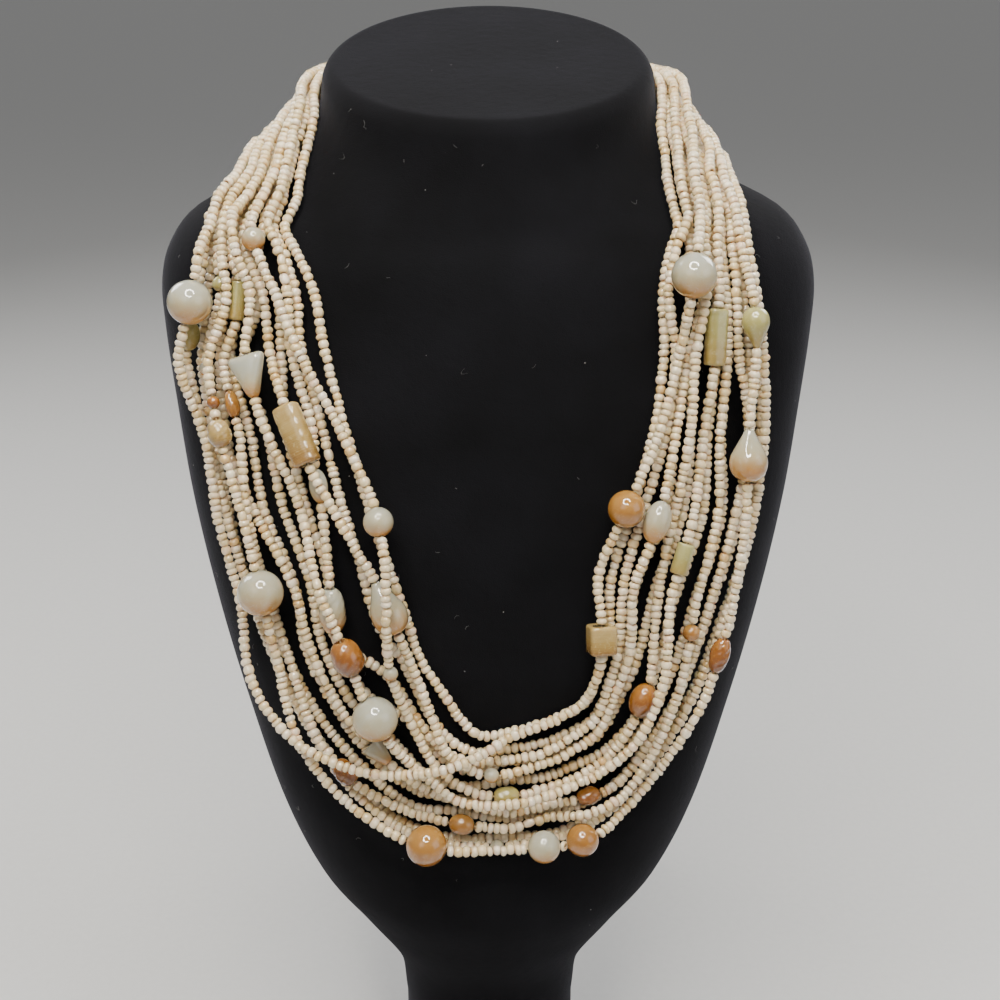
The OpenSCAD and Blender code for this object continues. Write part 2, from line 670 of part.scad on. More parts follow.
orange_stone("oval_stone_4");  // oval_stone_4
white_stone("oval_stone_5");  // oval_stone_5
white_stone("drop_stone_1");  // drop_stone_1
white_stone("drop_stone_2");  // drop_stone_2
green_stone("drop_stone_3");  // drop_stone_3
white_stone("drop_stone_4");  // drop_stone_4
peach_stone("nugget_stone_1");  // nugget_stone_1
tan_stone("nugget_stone_2");  // nugget_stone_2
white_stone("nugget_stone_3");  // nugget_stone_3
orange_stone("nugget_stone_4");  // nugget_stone_4
orange_stone("nugget_stone_5");  // nugget_stone_5
green_stone("nugget_stone_6");  // nugget_stone_6
orange_stone("nugget_stone_7");  // nugget_stone_7
orange_stone("nugget_stone_8");  // nugget_stone_8
green_stone("tube_stone_1");  // tube_stone_1
green_stone("tube_stone_2");  // tube_stone_2
tan_stone("ribbed_stone_1");  // ribbed_stone_1
green_stone("ribbed_stone_2");  // ribbed_stone_2
tan_stone("cube_stone_1");  // cube_stone_1
white_stone("cone_stone_1");  // cone_stone_1
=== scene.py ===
import logging
import math
from dataclasses import dataclass, field
from enum import Enum

import bmesh
import bpy
import numpy as np
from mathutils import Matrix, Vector


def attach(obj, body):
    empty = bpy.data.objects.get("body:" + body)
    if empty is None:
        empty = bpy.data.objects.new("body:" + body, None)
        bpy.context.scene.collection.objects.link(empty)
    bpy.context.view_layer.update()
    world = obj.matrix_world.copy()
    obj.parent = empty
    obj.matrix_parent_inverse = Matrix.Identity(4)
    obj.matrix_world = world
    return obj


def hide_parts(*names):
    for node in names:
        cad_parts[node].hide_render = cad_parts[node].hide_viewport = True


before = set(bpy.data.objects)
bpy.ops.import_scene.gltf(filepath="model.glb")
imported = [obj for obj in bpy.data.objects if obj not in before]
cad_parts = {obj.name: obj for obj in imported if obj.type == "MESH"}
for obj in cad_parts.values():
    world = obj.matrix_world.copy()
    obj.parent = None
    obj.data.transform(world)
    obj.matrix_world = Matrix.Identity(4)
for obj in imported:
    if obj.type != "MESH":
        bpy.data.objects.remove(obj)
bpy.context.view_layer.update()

LOG = logging.getLogger("necklace")
MM = 0.001

# The sizes and tables of the part's source, in millimetres and percent.
# Bust: height, half width, middle, front, back.
BUST_SECTIONS = np.array([
    [18, 27.5, 0, 44, 48], [23, 30.5, 1, 50, 52], [28, 44, 4, 68, 70],
    [32, 56, 6, 79, 84], [38, 67, 10, 86, 95], [47, 77, 14, 89, 102],
    [56, 85, 17, 91, 105], [65, 91.5, 21, 91, 104], [73, 95.5, 25, 86, 98],
    [79, 98, 28, 79, 89], [83, 98.5, 30, 74, 81], [86, 95.5, 32, 71, 75],
    [88.5, 88, 35, 69, 71], [91, 69, 38, 70, 70], [95, 53, 42, 72, 72],
    [100, 49, 44, 71, 77]])
# Band: place, inner turn, inner level, outer turn, outer level, lift.
BAND = np.array([
    [0, -174, 97.2, -174, 91.2, 30], [1, -149, 97.2, -149, 91.2, 30],
    [2, -123, 97.3, -124, 91, 30], [3, -98, 97.5, -106, 90.9, 25],
    [4, -80, 96.7, -97, 90.9, 15], [5, -68, 94.1, -81, 90.5, 15],
    [6, -47, 90.5, -60, 88.3, 35], [7, -30.5, 85.5, -53, 84, 30],
    [8, -26, 79.8, -57, 77.5, 12], [9, -22.5, 73.5, -55.5, 70.5, 10],
    [10, -17.5, 67, -53, 62.5, 10], [11, -15, 61.5, -49, 55, 10],
    [12, -11, 57, -41, 48.5, 10], [13, -5, 53.3, -27, 42.8, 15],
    [14, -1, 51, -10, 41, 15], [15, 6, 51.5, 8, 41, 15],
    [16, 13, 52.3, 20, 41.5, 15], [17, 19, 53.5, 32, 43.5, 15],
    [18, 21, 57.5, 44, 49, 15], [19, 21, 63, 52, 58, 15],
    [20, 25, 69.5, 56, 67.5, 15], [21, 29, 76.5, 53, 76, 12],
    [22, 29, 82.5, 49, 82, 20], [23, 33, 87.3, 50, 86.8, 35],
    [24, 46, 90.8, 59, 89.1, 30], [25, 64, 94.2, 80, 90.6, 15],
    [26, 79, 96.7, 97, 90.9, 15], [27, 98, 97.5, 106, 90.9, 25],
    [28, 123, 97.3, 124, 91, 30], [29, 149, 97.2, 149, 91.2, 30],
    [30, 174, 97.2, 174, 91.2, 30]])
RING_PLACES = np.array([
    0, 0.7, 1.4, 2.1, 2.8, 3.5, 4.2, 4.9, 5.5, 6, 6.4, 6.8, 7.3, 8, 8.8,
    9.6, 10.4, 11.2, 12, 12.7, 13.4, 14.1, 14.8, 15.5, 16.2, 16.9, 17.5,
    18.2, 19, 19.8, 20.6, 21.4, 22.2, 22.9, 23.4, 23.8, 24.3, 24.9, 25.6,
    26.3, 27, 27.7, 28.5, 29.3, 30])
# Strands, bottom of the pile to top: turning points, place and lane.
STRANDS = [np.array(rows, float) for rows in (
    [[0, 0], [5, 4], [8, 4], [11, 6], [13, 8], [15, 10], [18, 6], [21, 4],
     [25, 4], [30, 0]],
    [[0, 17], [5, 18], [8, 20], [11, 20], [13, 24], [15, 26], [18, 22],
     [21, 20], [25, 18], [30, 17]],
    [[0, 33], [5, 34], [8, 36], [11, 38], [13, 38], [15, 40], [18, 36],
     [21, 34], [25, 34], [30, 33]],
    [[0, 50], [5, 50], [8, 54], [11, 52], [13, 56], [15, 55], [18, 52],
     [21, 50], [25, 50], [30, 50]],
    [[0, 67], [5, 66], [8, 68], [11, 66], [13, 70], [15, 70], [18, 68],
     [21, 66], [25, 66], [30, 67]],
    [[0, 83], [5, 82], [8, 82], [11, 84], [13, 84], [15, 84], [18, 84],
     [21, 84], [25, 82], [30, 83]],
    [[0, 100], [5, 98], [8, 98], [11, 98], [13, 97], [15, 98], [18, 100],
     [21, 99], [25, 98], [30, 100]],
    [[0, 8], [5, 10], [7, 22], [9.4, 27], [10.8, 33], [13, 31], [15, 32],
     [18, 14], [21, 12], [25, 10], [30, 8]],
    [[0, 92], [5, 92], [7.7, 100], [10, 92], [12, 92], [14.7, 101],
     [17, 94], [19, 95], [21, 92], [25, 92], [30, 92]],
    [[0, 75], [5, 74], [7.1, 81], [8.1, 83], [10.5, 62], [12.6, 59],
     [14.5, 70], [16.3, 78], [18, 78], [21, 75], [25, 74], [30, 75]],
    [[0, 58], [5, 58], [7.3, 65], [8.5, 66], [10.5, 74], [12.5, 84],
     [14.2, 85], [15.9, 86], [17.5, 78], [18.8, 63], [21, 58], [25, 58],
     [30, 58]],
    [[0, 42], [5, 42], [7.9, 41], [8.9, 27], [11, 8], [12.5, 16],
     [14.5, 39], [16, 36], [18, 22], [19.7, 12], [22, 28], [25, 42],
     [30, 42]],
    [[0, 25], [5, 26], [6.7, 35], [8.3, 12], [9.9, -2], [11, 4],
     [11.9, 21], [13, 36], [14.7, 58], [16.2, 58], [17.9, 45], [20, 26],
     [22, 26], [25, 26], [30, 25]],
    [[0, 67], [5, 66], [7, 70], [8.8, 69], [10.4, 71], [12, 88],
     [13.8, 94], [15.3, 96], [17, 96], [18.7, 91], [20.4, 67], [21.8, 79],
     [24, 74], [26, 67], [30, 67]],
    [[0, 50], [5, 50], [7, 50], [8.2, 46], [10, 36], [11.4, 31],
     [12.3, 39], [14, 54], [15, 58], [17, 54], [19.4, 37], [21.6, 43],
     [24, 50], [30, 50]],
    [[0, 83], [4, 83], [6, 80], [7.3, 86], [9, 92], [10.4, 95], [11.3, 92],
     [12.3, 79], [13.1, 46], [14, 16], [15, 8], [16.5, 4], [18.1, -3],
     [19.8, -3], [21, 6], [22.4, 14], [24, 18], [26, 17], [30, 17]])]


class StoneLook(Enum):
    """The kinds of stone in the necklace, by the slot each one takes."""

    WHITE = "white_stone"
    PEACH = "peach_stone"
    ORANGE = "orange_stone"
    TAN = "tan_stone"
    GREEN = "green_stone"


class Cut(Enum):
    """The shapes that the stone beads are cut to."""

    ROUND = "round"
    OVAL = "oval"
    DROP = "drop"
    TEAR = "tear"
    WEDGE = "wedge"
    NUGGET = "nugget"
    TUBE = "tube"
    RIBBED = "ribbed"
    CUBE = "cube"
    CONE = "cone"


@dataclass(frozen=True)
class Stone:
    """A stone bead: its strand, place, sizes in percent, and looks.

    Length and width are in percent of the largest round bead. Tone moves its colour towards the
    stone's warmer end.
    """

    name: str
    cut: Cut
    strand: int
    place: float
    length: float
    width: float
    look: StoneLook
    tone: float


# In order of place along the band, with the columns of Stone
STONES = tuple(Stone(*row) for row in (
    ("round_stone_3", Cut.ROUND, 13, 6.66, 51, 51, StoneLook.WHITE, 0.7),
    ("round_stone_2", Cut.ROUND, 10, 7.1, 34, 34, StoneLook.GREEN, 0.2),
    ("round_stone_1", Cut.ROUND, 16, 7.33, 95, 95, StoneLook.WHITE, 0.1),
    ("tube_stone_1", Cut.TUBE, 11, 7.33, 82, 32, StoneLook.GREEN, 0.5),
    ("oval_stone_1", Cut.OVAL, 9, 7.67, 64, 47, StoneLook.GREEN, 0.5),
    ("round_stone_16", Cut.ROUND, 10, 8.07, 34, 34, StoneLook.WHITE, 0.3),
    ("drop_stone_1", Cut.WEDGE, 15, 8.22, 92, 85, StoneLook.WHITE, -0.25),
    ("round_stone_4", Cut.ROUND, 14, 8.45, 28, 28, StoneLook.ORANGE, 0.4),
    ("nugget_stone_1", Cut.NUGGET, 11, 8.49, 58, 38, StoneLook.PEACH, 0.2),
    ("nugget_stone_2", Cut.NUGGET, 14, 8.77, 60, 62, StoneLook.TAN, 0.1),
    ("ribbed_stone_1", Cut.RIBBED, 12, 8.9, 134, 58, StoneLook.TAN, 0.25),
    ("oval_stone_2", Cut.OVAL, 8, 9.45, 72, 40, StoneLook.WHITE, -0.3),
    ("round_stone_5", Cut.ROUND, 13, 9.92, 64, 64, StoneLook.WHITE, 0.3),
    ("round_stone_6", Cut.ROUND, 14, 10.36, 100, 100, StoneLook.WHITE, 0.35),
    ("nugget_stone_3", Cut.NUGGET, 8, 10.8, 100, 72, StoneLook.WHITE, 0.15),
    ("drop_stone_2", Cut.DROP, 12, 11, 120, 78, StoneLook.WHITE, 0.3),
    ("nugget_stone_4", Cut.NUGGET, 15, 11.38, 80, 84, StoneLook.ORANGE, 0.25),
    ("round_stone_15", Cut.ROUND, 13, 11.86, 32, 32, StoneLook.WHITE, 0.3),
    ("round_stone_7", Cut.ROUND, 15, 12.26, 98, 98, StoneLook.WHITE, 0),
    ("nugget_stone_5", Cut.NUGGET, 11, 12.53, 64, 60, StoneLook.ORANGE, 0.7),
    ("cone_stone_1", Cut.CONE, 10, 12.64, 58, 55, StoneLook.WHITE, 0.3),
    ("round_stone_8", Cut.ROUND, 14, 13.82, 90, 90, StoneLook.PEACH, 0.15),
    ("oval_stone_3", Cut.OVAL, 11, 14.17, 56, 46, StoneLook.PEACH, 0.3),
    ("round_stone_17", Cut.ROUND, 12, 14.46, 34, 34, StoneLook.WHITE, 0.3),
    ("round_stone_9", Cut.ROUND, 9, 14.65, 32, 32, StoneLook.WHITE, 0.5),
    ("nugget_stone_6", Cut.NUGGET, 13, 14.74, 56, 50, StoneLook.GREEN, 0.9),
    ("round_stone_10", Cut.ROUND, 14, 15.29, 72, 72, StoneLook.WHITE, 0.25),
    ("round_stone_11", Cut.ROUND, 14, 16, 72, 72, StoneLook.PEACH, 0.8),
    ("nugget_stone_7", Cut.NUGGET, 10, 16.34, 52, 50, StoneLook.ORANGE, 0.2),
    ("oval_stone_4", Cut.OVAL, 13, 17.85, 80, 60, StoneLook.ORANGE, 0.2),
    ("cube_stone_1", Cut.CUBE, 16, 18.14, 62, 60, StoneLook.TAN, 0.1),
    ("nugget_stone_8", Cut.NUGGET, 14, 18.68, 80, 54, StoneLook.ORANGE, 0.5),
    ("round_stone_13", Cut.ROUND, 11, 18.75, 38, 38, StoneLook.PEACH, 0),
    ("tube_stone_2", Cut.TUBE, 15, 19.4, 68, 38, StoneLook.GREEN, 0.1),
    ("oval_stone_5", Cut.OVAL, 12, 19.71, 92, 58, StoneLook.WHITE, 0.3),
    ("round_stone_12", Cut.ROUND, 16, 19.8, 80, 80, StoneLook.PEACH, 0.1),
    ("drop_stone_4", Cut.TEAR, 14, 20.38, 114, 82, StoneLook.WHITE, 0.45),
    ("ribbed_stone_2", Cut.RIBBED, 15, 21.63, 120, 46, StoneLook.GREEN, 0.6),
    ("drop_stone_3", Cut.DROP, 14, 21.75, 86, 60, StoneLook.GREEN, 0.2),
    ("round_stone_14", Cut.ROUND, 16, 22.38, 95, 95, StoneLook.WHITE, 0.05)))
# Half outline of a drop: along and out, in percent of its half sizes
DROP_OUTLINE = np.array([
    [-100, 22], [-80, 34], [-50, 56], [-20, 80], [10, 97], [35, 100],
    [60, 92], [80, 74], [93, 50], [100, 26]])
WEDGE_OUTLINE = np.array([
    [-100, 82], [-94, 94], [-84, 100], [-60, 92], [40, 46], [80, 28],
    [94, 22], [100, 17]])
NUGGET_RINGS = np.array([[-100, 45], [-62, 86], [0, 100], [58, 90], [100, 50]])
NUGGET_SIDES = np.array([100, 88, 96, 84, 100, 90, 94])
# How far the rounded ends of straight beads run, and how far they draw in
END_SHAPES = {
    Cut.TUBE: (0.12, 0.25), Cut.RIBBED: (0.14, 0.28),
    Cut.CONE: (0.12, 0.12), Cut.CUBE: (0.2, 0.2)}


# Small helpers

def linear(hex_colour: str) -> tuple[float, float, float, float]:
    """Turn an sRGB hex colour into linear RGBA.

    Args:
        hex_colour: six hex digits after a hash sign.

    Returns:
        Linear red, green, blue and an alpha of one.
    """
    parts = [int(hex_colour[k:k + 2], 16) / 255 for k in (1, 3, 5)]
    lin = [c / 12.92 if c <= 0.04045 else ((c + 0.055) / 1.055) ** 2.4 for c in parts]
    return lin[0], lin[1], lin[2], 1.0


def unit(vectors: np.ndarray) -> np.ndarray:
    """Scale each vector on the last axis to length one."""
    return vectors / np.linalg.norm(vectors, axis=-1, keepdims=True)


def smooth(share: np.ndarray) -> np.ndarray:
    """Ease a share from 0 to 1: three squares less two cubes."""
    s = np.clip(share, 0, 1)
    return s * s * (3 - 2 * s)


def curve(rows: np.ndarray, x: np.ndarray, column: int) -> np.ndarray:
    """Read a table smoothly.

    The curve is a cubic through the rows, and its slope at a row is the slope from the row before
    to the row after.

    Args:
        rows: the table, with x in its first column.
        x: where to read.
        column: which column to read.

    Returns:
        The values at x.
    """
    xs, ys = rows[:, 0], rows[:, column]
    last = len(xs) - 1
    at = np.arange(len(xs))
    before, after = np.maximum(at - 1, 0), np.minimum(at + 1, last)
    slopes = (ys[after] - ys[before]) / (xs[after] - xs[before])
    i = np.clip(np.searchsorted(xs, x, side="right") - 1, 0, last - 1)
    h = xs[i + 1] - xs[i]
    s = (x - xs[i]) / h
    return ((1 + 2 * s) * (1 - s) ** 2 * ys[i] + s * (1 - s) ** 2 * h * slopes[i]
            + s * s * (3 - 2 * s) * ys[i + 1] + s * s * (s - 1) * h * slopes[i + 1])


def build_mesh(name: str, points: np.ndarray, quads: np.ndarray,
               values: dict[str, np.ndarray] | None = None,
               shade_smooth: bool = True) -> bpy.types.Object:
    """Put points and faces into a new object.

    Args:
        name: the piece's name.
        points: n by 3, in metres.
        quads: m by 4 corner numbers; a triangle repeats its last corner as -1.
        values: one float for each point, by attribute name.
        shade_smooth: whether the faces are shaded smooth.

    Returns:
        The linked object, at the origin.
    """
    mesh = bpy.data.meshes.new(name)
    quads = np.asarray(quads)
    keep = quads >= 0
    counts = keep.sum(axis=1)
    starts = np.concatenate([[0], np.cumsum(counts)[:-1]])
    mesh.vertices.add(len(points))
    mesh.vertices.foreach_set("co", np.asarray(points, np.float32).ravel())
    mesh.loops.add(int(counts.sum()))
    mesh.loops.foreach_set("vertex_index", quads[keep].astype(np.int32))
    mesh.polygons.add(len(quads))
    mesh.polygons.foreach_set("loop_start", starts.astype(np.int32))
    mesh.polygons.foreach_set("use_smooth", np.full(len(quads), shade_smooth))
    mesh.update(calc_edges=True)
    mesh.validate()
    for key, numbers in (values or {}).items():
        layer = mesh.attributes.new(key, "FLOAT", "POINT")
        layer.data.foreach_set("value", np.asarray(numbers, np.float32))
    piece = bpy.data.objects.new(name, mesh)
    bpy.context.scene.collection.objects.link(piece)
    return piece


def grid_faces(rows: int, around: int, close_rows: bool = False) -> np.ndarray:
    """Number the faces of a grid of points, row after row.

    A face's corners are a point, the next one round, and the same two in the next row.

    Args:
        rows: how many rows of points there are.
        around: how many points a row has, the last beside the first.
        close_rows: whether the last row joins the first.

    Returns:
        Faces by 4 corner numbers.
    """
    r = np.arange(rows if close_rows else rows - 1)[:, None]
    c = np.arange(around)[None, :]
    r2, c2 = (r + 1) % rows, (c + 1) % around
    return np.stack([r * around + c, r * around + c2,
                     r2 * around + c2, r2 * around + c], -1).reshape(-1, 4)


def node(tree: bpy.types.NodeTree, kind: str, inputs: dict[str | int, object] | None = None,
         **settings: object) -> bpy.types.Node:
    """Add a shader node, with its settings, values and links.

    Args:
        tree: the node tree.
        kind: the node's type name without the ShaderNode prefix.
        inputs: for each input, a value or an output socket to link.
        **settings: the node's own properties.

    Returns:
        The new node.
    """
    new = tree.nodes.new("ShaderNode" + kind)
    for key, value in settings.items():
        setattr(new, key, value)
    for key, value in (inputs or {}).items():
        if isinstance(value, bpy.types.NodeSocket):
            tree.links.new(value, new.inputs[key])
        else:
            new.inputs[key].default_value = value
    return new


def noise(tree: bpy.types.NodeTree, place: bpy.types.NodeSocket,
          size_mm: float, detail: float = 2.0, roughness: float = 0.5,
          distortion: float = 0.0) -> bpy.types.NodeSocket:
    """Add noise of a real size.

    Args:
        tree: the node tree.
        place: where it is read.
        size_mm: the size of its patches.
        detail: how many finer layers it has.
        roughness: how strong the finer layers are.
        distortion: how far it is stirred.

    Returns:
        The noise, from 0 to 1.
    """
    return node(tree, "TexNoise", {
        "Vector": place, "Scale": 1 / (size_mm * MM), "Detail": detail,
        "Roughness": roughness, "Distortion": distortion}).outputs["Fac"]


def maths(tree: bpy.types.NodeTree, operation: str, *values: object) -> bpy.types.NodeSocket:
    """Work out a sum of numbers and sockets in the shader."""
    return node(tree, "Math", dict(enumerate(values)), operation=operation).outputs[0]


def span(tree: bpy.types.NodeTree, value: bpy.types.NodeSocket,
         low: float, high: float, to_low: float, to_high: float) -> bpy.types.NodeSocket:
    """Map the range from low to high onto another range, clamped."""
    return node(tree, "MapRange", {
        "Value": value, "From Min": low, "From Max": high,
        "To Min": to_low, "To Max": to_high}).outputs["Result"]


def attribute(tree: bpy.types.NodeTree, name: str) -> bpy.types.NodeSocket:
    """Read one of the mesh's own float attributes."""
    return node(tree, "Attribute", attribute_name=name).outputs["Fac"]


def new_material(name: str) -> tuple[bpy.types.Material, bpy.types.NodeTree, bpy.types.NodeSocket]:
    """Start a material with an empty node tree.

    Args:
        name: the material's name.

    Returns:
        The material, its tree, and the place on the object as a socket.
    """
    material = bpy.data.materials.new(name)
    material.use_nodes = True
    tree = material.node_tree
    tree.nodes.clear()
    return material, tree, node(tree, "TexCoord").outputs["Object"]


def colour_ramp(tree: bpy.types.NodeTree, factor: bpy.types.NodeSocket,
                stops: list[tuple[float, str]]) -> bpy.types.NodeSocket:
    """Turn a value into a colour along named stops.

    Args:
        tree: the node tree.
        factor: the value to read.
        stops: place and sRGB hex colour of each stop.

    Returns:
        The colour output.
    """
    ramp = node(tree, "ValToRGB", {"Fac": factor})
    elements = ramp.color_ramp.elements
    while len(elements) < len(stops):
        elements.new(0.5)
    for element, (place, colour) in zip(elements, stops):
        element.position = place
        element.color = linear(colour)
    return ramp.outputs["Color"]


def blend_colour(tree: bpy.types.NodeTree, share: bpy.types.NodeSocket,
                 first: bpy.types.NodeSocket | str, second: str) -> bpy.types.NodeSocket:
    """Mix two colours.

    Args:
        tree: the node tree.
        share: how much of the second.
        first: a socket or an sRGB hex colour.
        second: an sRGB hex colour.

    Returns:
        The mixed colour.
    """
    start = linear(first) if isinstance(first, str) else first
    mix = node(tree, "Mix", {0: share, 6: start, 7: linear(second)}, data_type="RGBA")
    return mix.outputs[2]


def finish_surface(tree: bpy.types.NodeTree, inputs: dict[str, object],
                   bumps: list[tuple[bpy.types.NodeSocket, float, float]]) -> None:
    """Add the shader, its bumps and the output.

    Args:
        tree: the node tree.
        inputs: the shader's sockets, values or links.
        bumps: for each, the height, the strength and the depth in metres.
    """
    normal = None
    for height, strength, depth in bumps:
        given = {"Height": height, "Strength": strength, "Distance": depth}
        if normal is not None:
            given["Normal"] = normal
        normal = node(tree, "Bump", given).outputs["Normal"]
    if normal is not None:
        inputs = {**inputs, "Normal": normal}
    shader = node(tree, "BsdfPrincipled", inputs)
    node(tree, "OutputMaterial", {"Surface": shader.outputs["BSDF"]})


def dress(piece: bpy.types.Object, material: bpy.types.Material, slot: str, *stands_for: str) -> None:
    """Give a piece its material and its body, and hide the CAD nodes that it replaces.

    Args:
        piece: the piece.
        material: its material.
        slot: not used.
        *stands_for: the CAD node that it replaces, if any.
    """
    piece.data.materials.append(material)
    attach(piece, "root")
    if stands_for:
        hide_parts(*stands_for)


# The finishes

@dataclass(frozen=True)
class BlackVelvet:
    """Cotton velvet over the bust: short cut pile that soaks up light.

    The pile throws a soft grey sheen at grazing angles, lies a little differently from patch to
    patch, shown as lighter patches of painted sheen in its colour, and holds specks of lint.
    """

    base: str = "#08080A"
    # Painted sheen: the lighter colour of the patches where the pile lies differently.
    patch_painted_sheen: str = "#141418"
    gap: str = "#050506"
    sheen: str = "#5A5A62"
    lint: str = "#A9A6A0"
    pile_mm: float = 0.35
    clump_mm: float = 2.6
    painted_sheen_patch_mm: float = 34.0
    speck_mm: float = 5.2

    def build(self) -> bpy.types.Material:
        """Make the material."""
        material, tree, place = new_material("black_velvet")
        patches = noise(tree, place, self.painted_sheen_patch_mm, 3.0, 0.6)
        pile = noise(tree, place, self.pile_mm, 2.0, 0.7)
        clumps = noise(tree, place, self.clump_mm, 4.0)
        # Painted sheen: patches where the pile lies differently are painted a little lighter.
        nap_and_painted_sheen = colour_ramp(tree, patches, [(0.35, self.base), (0.7, self.patch_painted_sheen)])
        nap_and_painted_sheen = blend_colour(tree, pile, nap_and_painted_sheen, self.gap)
        # A speck sits in the middle of about one cell in four
        dust = node(tree, "TexVoronoi", {"Vector": place, "Scale": 1 / (self.speck_mm * MM)})
        small = maths(tree, "LESS_THAN", dust.outputs["Distance"], 0.028)
        draw = node(tree, "SeparateColor", {"Color": dust.outputs["Color"]})
        rare = maths(tree, "GREATER_THAN", draw.outputs[0], 0.72)
        colour = blend_colour(tree, maths(tree, "MULTIPLY", small, rare), nap_and_painted_sheen, self.lint)
        finish_surface(tree, {
            "Base Color": colour, "Roughness": 0.92,
            "Specular IOR Level": 0.12, "Sheen Weight": 0.55,
            "Sheen Roughness": 0.38, "Sheen Tint": linear(self.sheen)},
            [(clumps, 0.25, 0.0004), (pile, 0.5, 0.0002)])
        return material


@dataclass(frozen=True)
class Lint:
    """Fine pale fibres that cling to the velvet."""

    colour: str = "#9C9A96"
    shade: str = "#5E5D5C"

    def build(self) -> bpy.types.Material:
        """Make the material."""
        material, tree, place = new_material("cotton_lint")
        colour = blend_colour(tree, noise(tree, place, 1.5), self.colour, self.shade)
        finish_surface(tree, {"Base Color": colour, "Roughness": 0.8}, [])
        return material


@dataclass(frozen=True)
class SeedGlass:
    """Opaque cream seed bead glass, tumbled, with a thin pearly glaze.

    The glass lets light in a little, so beads warm each other where they touch; this is painted as a
    warm shade on each bead's ends. Each bead has its own tint, and the glaze gives small sharp
    glints over a soft satin.
    """

    tints: tuple[tuple[float, str], ...] = (
        (0.0, "#CCA465"), (0.12, "#DCC088"), (0.35, "#E2CDA0"),
        (0.6, "#E8D6B2"), (0.82, "#EEDFC4"), (0.93, "#E6C8A4"),
        (1.0, "#DCC484"))
    # Painted warm shade for the grooves where beads meet, not the glass's own colour.
    hole: str = "#B08045"
    cloud_mm: float = 1.1

    def build(self) -> bpy.types.Material:
        """Make the material."""
        material, tree, place = new_material("pearl_glazed_seed_glass")
        cloud = noise(tree, place, self.cloud_mm)
        # The cloud moves a bead's own tone up or down by 0.08
        nudged = maths(tree, "MULTIPLY_ADD", cloud, 0.16, attribute(tree, "tone"))
        tint = maths(tree, "SUBTRACT", nudged, 0.08)
        colour = colour_ramp(tree, tint, list(self.tints))
        # Painted shade: the mouth share darkens each bead's ends warm brown, where beads meet.
        mouth = maths(tree, "MULTIPLY", attribute(tree, "mouth"), 0.85)
        colour = blend_colour(tree, mouth, colour, self.hole)
        finish_surface(tree, {
            "Base Color": colour,
            "Roughness": span(tree, cloud, 0.3, 0.7, 0.2, 0.4),
            "IOR": 1.52, "Subsurface Weight": 0.2,
            "Subsurface Radius": (1.0, 0.66, 0.42),
            "Subsurface Scale": 0.9 * MM, "Coat Weight": 0.9,
            "Coat Roughness": 0.06, "Coat IOR": 1.65},
            [(cloud, 0.12, 0.0002)])
        return material


@dataclass(frozen=True)
class PolishedStone:
    """Tumble-polished chalcedony or quartz: milky, with a wet gloss.

    The low edge of each bead is painted warmer than its top: a painted glow and shade standing in
    for light that enters and glows out again on the shaded side. Faint clouds and bands run through it.
    """

    name: str
    # top, body and glow run from the lighter top to the painted warm glow and shade of the low edge.
    top: str
    body: str
    painted_glow: str
    vein: str
    cloud_mm: float = 4.5
    vein_share: float = 0.25
    depth_mm: float = 2.2
    stripes_mm: float = 0.0

    def build(self) -> bpy.types.Material:
        """Make the material."""
        material, tree, place = new_material(self.name)
        cloud = noise(tree, place, self.cloud_mm, 4.0, 0.55, 0.8)
        # Painted glow and shade: the low attribute warms each bead towards its bottom.
        cloud_tone_and_painted_glow = maths(tree, "MULTIPLY_ADD", cloud, 0.4, attribute(tree, "low"))
        cloud_tone_and_painted_glow = maths(tree, "MULTIPLY_ADD", attribute(tree, "tone"), 0.3, cloud_tone_and_painted_glow)
        # The ramp runs from a lighter top, over the body, to the painted glow on the low edge.
        colour = colour_ramp(tree, cloud_tone_and_painted_glow, [(0.22, self.top), (0.55, self.body), (1.0, self.painted_glow)])
        veins = noise(tree, place, self.cloud_mm / 2, 6.0, 0.65, 2.5)
        colour = blend_colour(
            tree, span(tree, veins, 0.54, 0.66, 0.0, self.vein_share),
            colour, self.vein)
        bumps = [(cloud, 0.05, 0.0004)]
        if self.stripes_mm:
            along = maths(tree, "MULTIPLY", attribute(tree, "along"), 1 / self.stripes_mm)
            stripe = node(tree, "TexNoise", {"W": along, "Scale": 1.0},
                          noise_dimensions="1D").outputs["Fac"]
            colour = blend_colour(tree, span(tree, stripe, 0.42, 0.6, 0.0, 0.14), colour, self.vein)
            bumps.append((stripe, 0.06, 0.0004))
        finish_surface(tree, {
            "Base Color": colour, "Roughness": 0.05, "IOR": 1.58,
            "Subsurface Weight": 0.4,
            "Subsurface Radius": (1.0, 0.85, 0.5),
            "Subsurface Scale": self.depth_mm * MM,
            "Coat Weight": 1.0, "Coat Roughness": 0.02}, bumps)
        return material


# Each stone's glow colour is a painted warm glow and shade on its low edge.
STONE_FINISHES = {
    StoneLook.WHITE: PolishedStone(
        "polished_milky_quartz", top="#AEAE9E", body="#B1A686",
        painted_glow="#B27C34", vein="#C2BBA2"),
    StoneLook.PEACH: PolishedStone(
        "polished_peach_chalcedony", top="#A97C3D", body="#9C6A29",
        painted_glow="#98611F", vein="#BE9858"),
    StoneLook.ORANGE: PolishedStone(
        "polished_orange_agate", top="#A06A29", body="#8A531A",
        painted_glow="#6E3C0E", vein="#B38443", vein_share=0.4),
    StoneLook.TAN: PolishedStone(
        "polished_tan_agate", top="#B49A64", body="#A38648",
        painted_glow="#865F28", vein="#C8B480", vein_share=0.4, depth_mm=3.0,
        stripes_mm=0.35),
    StoneLook.GREEN: PolishedStone(
        "polished_pale_green_chalcedony", top="#ADA86F", body="#A19757",
        painted_glow="#998344", vein="#C4BF92", depth_mm=3.0),
}


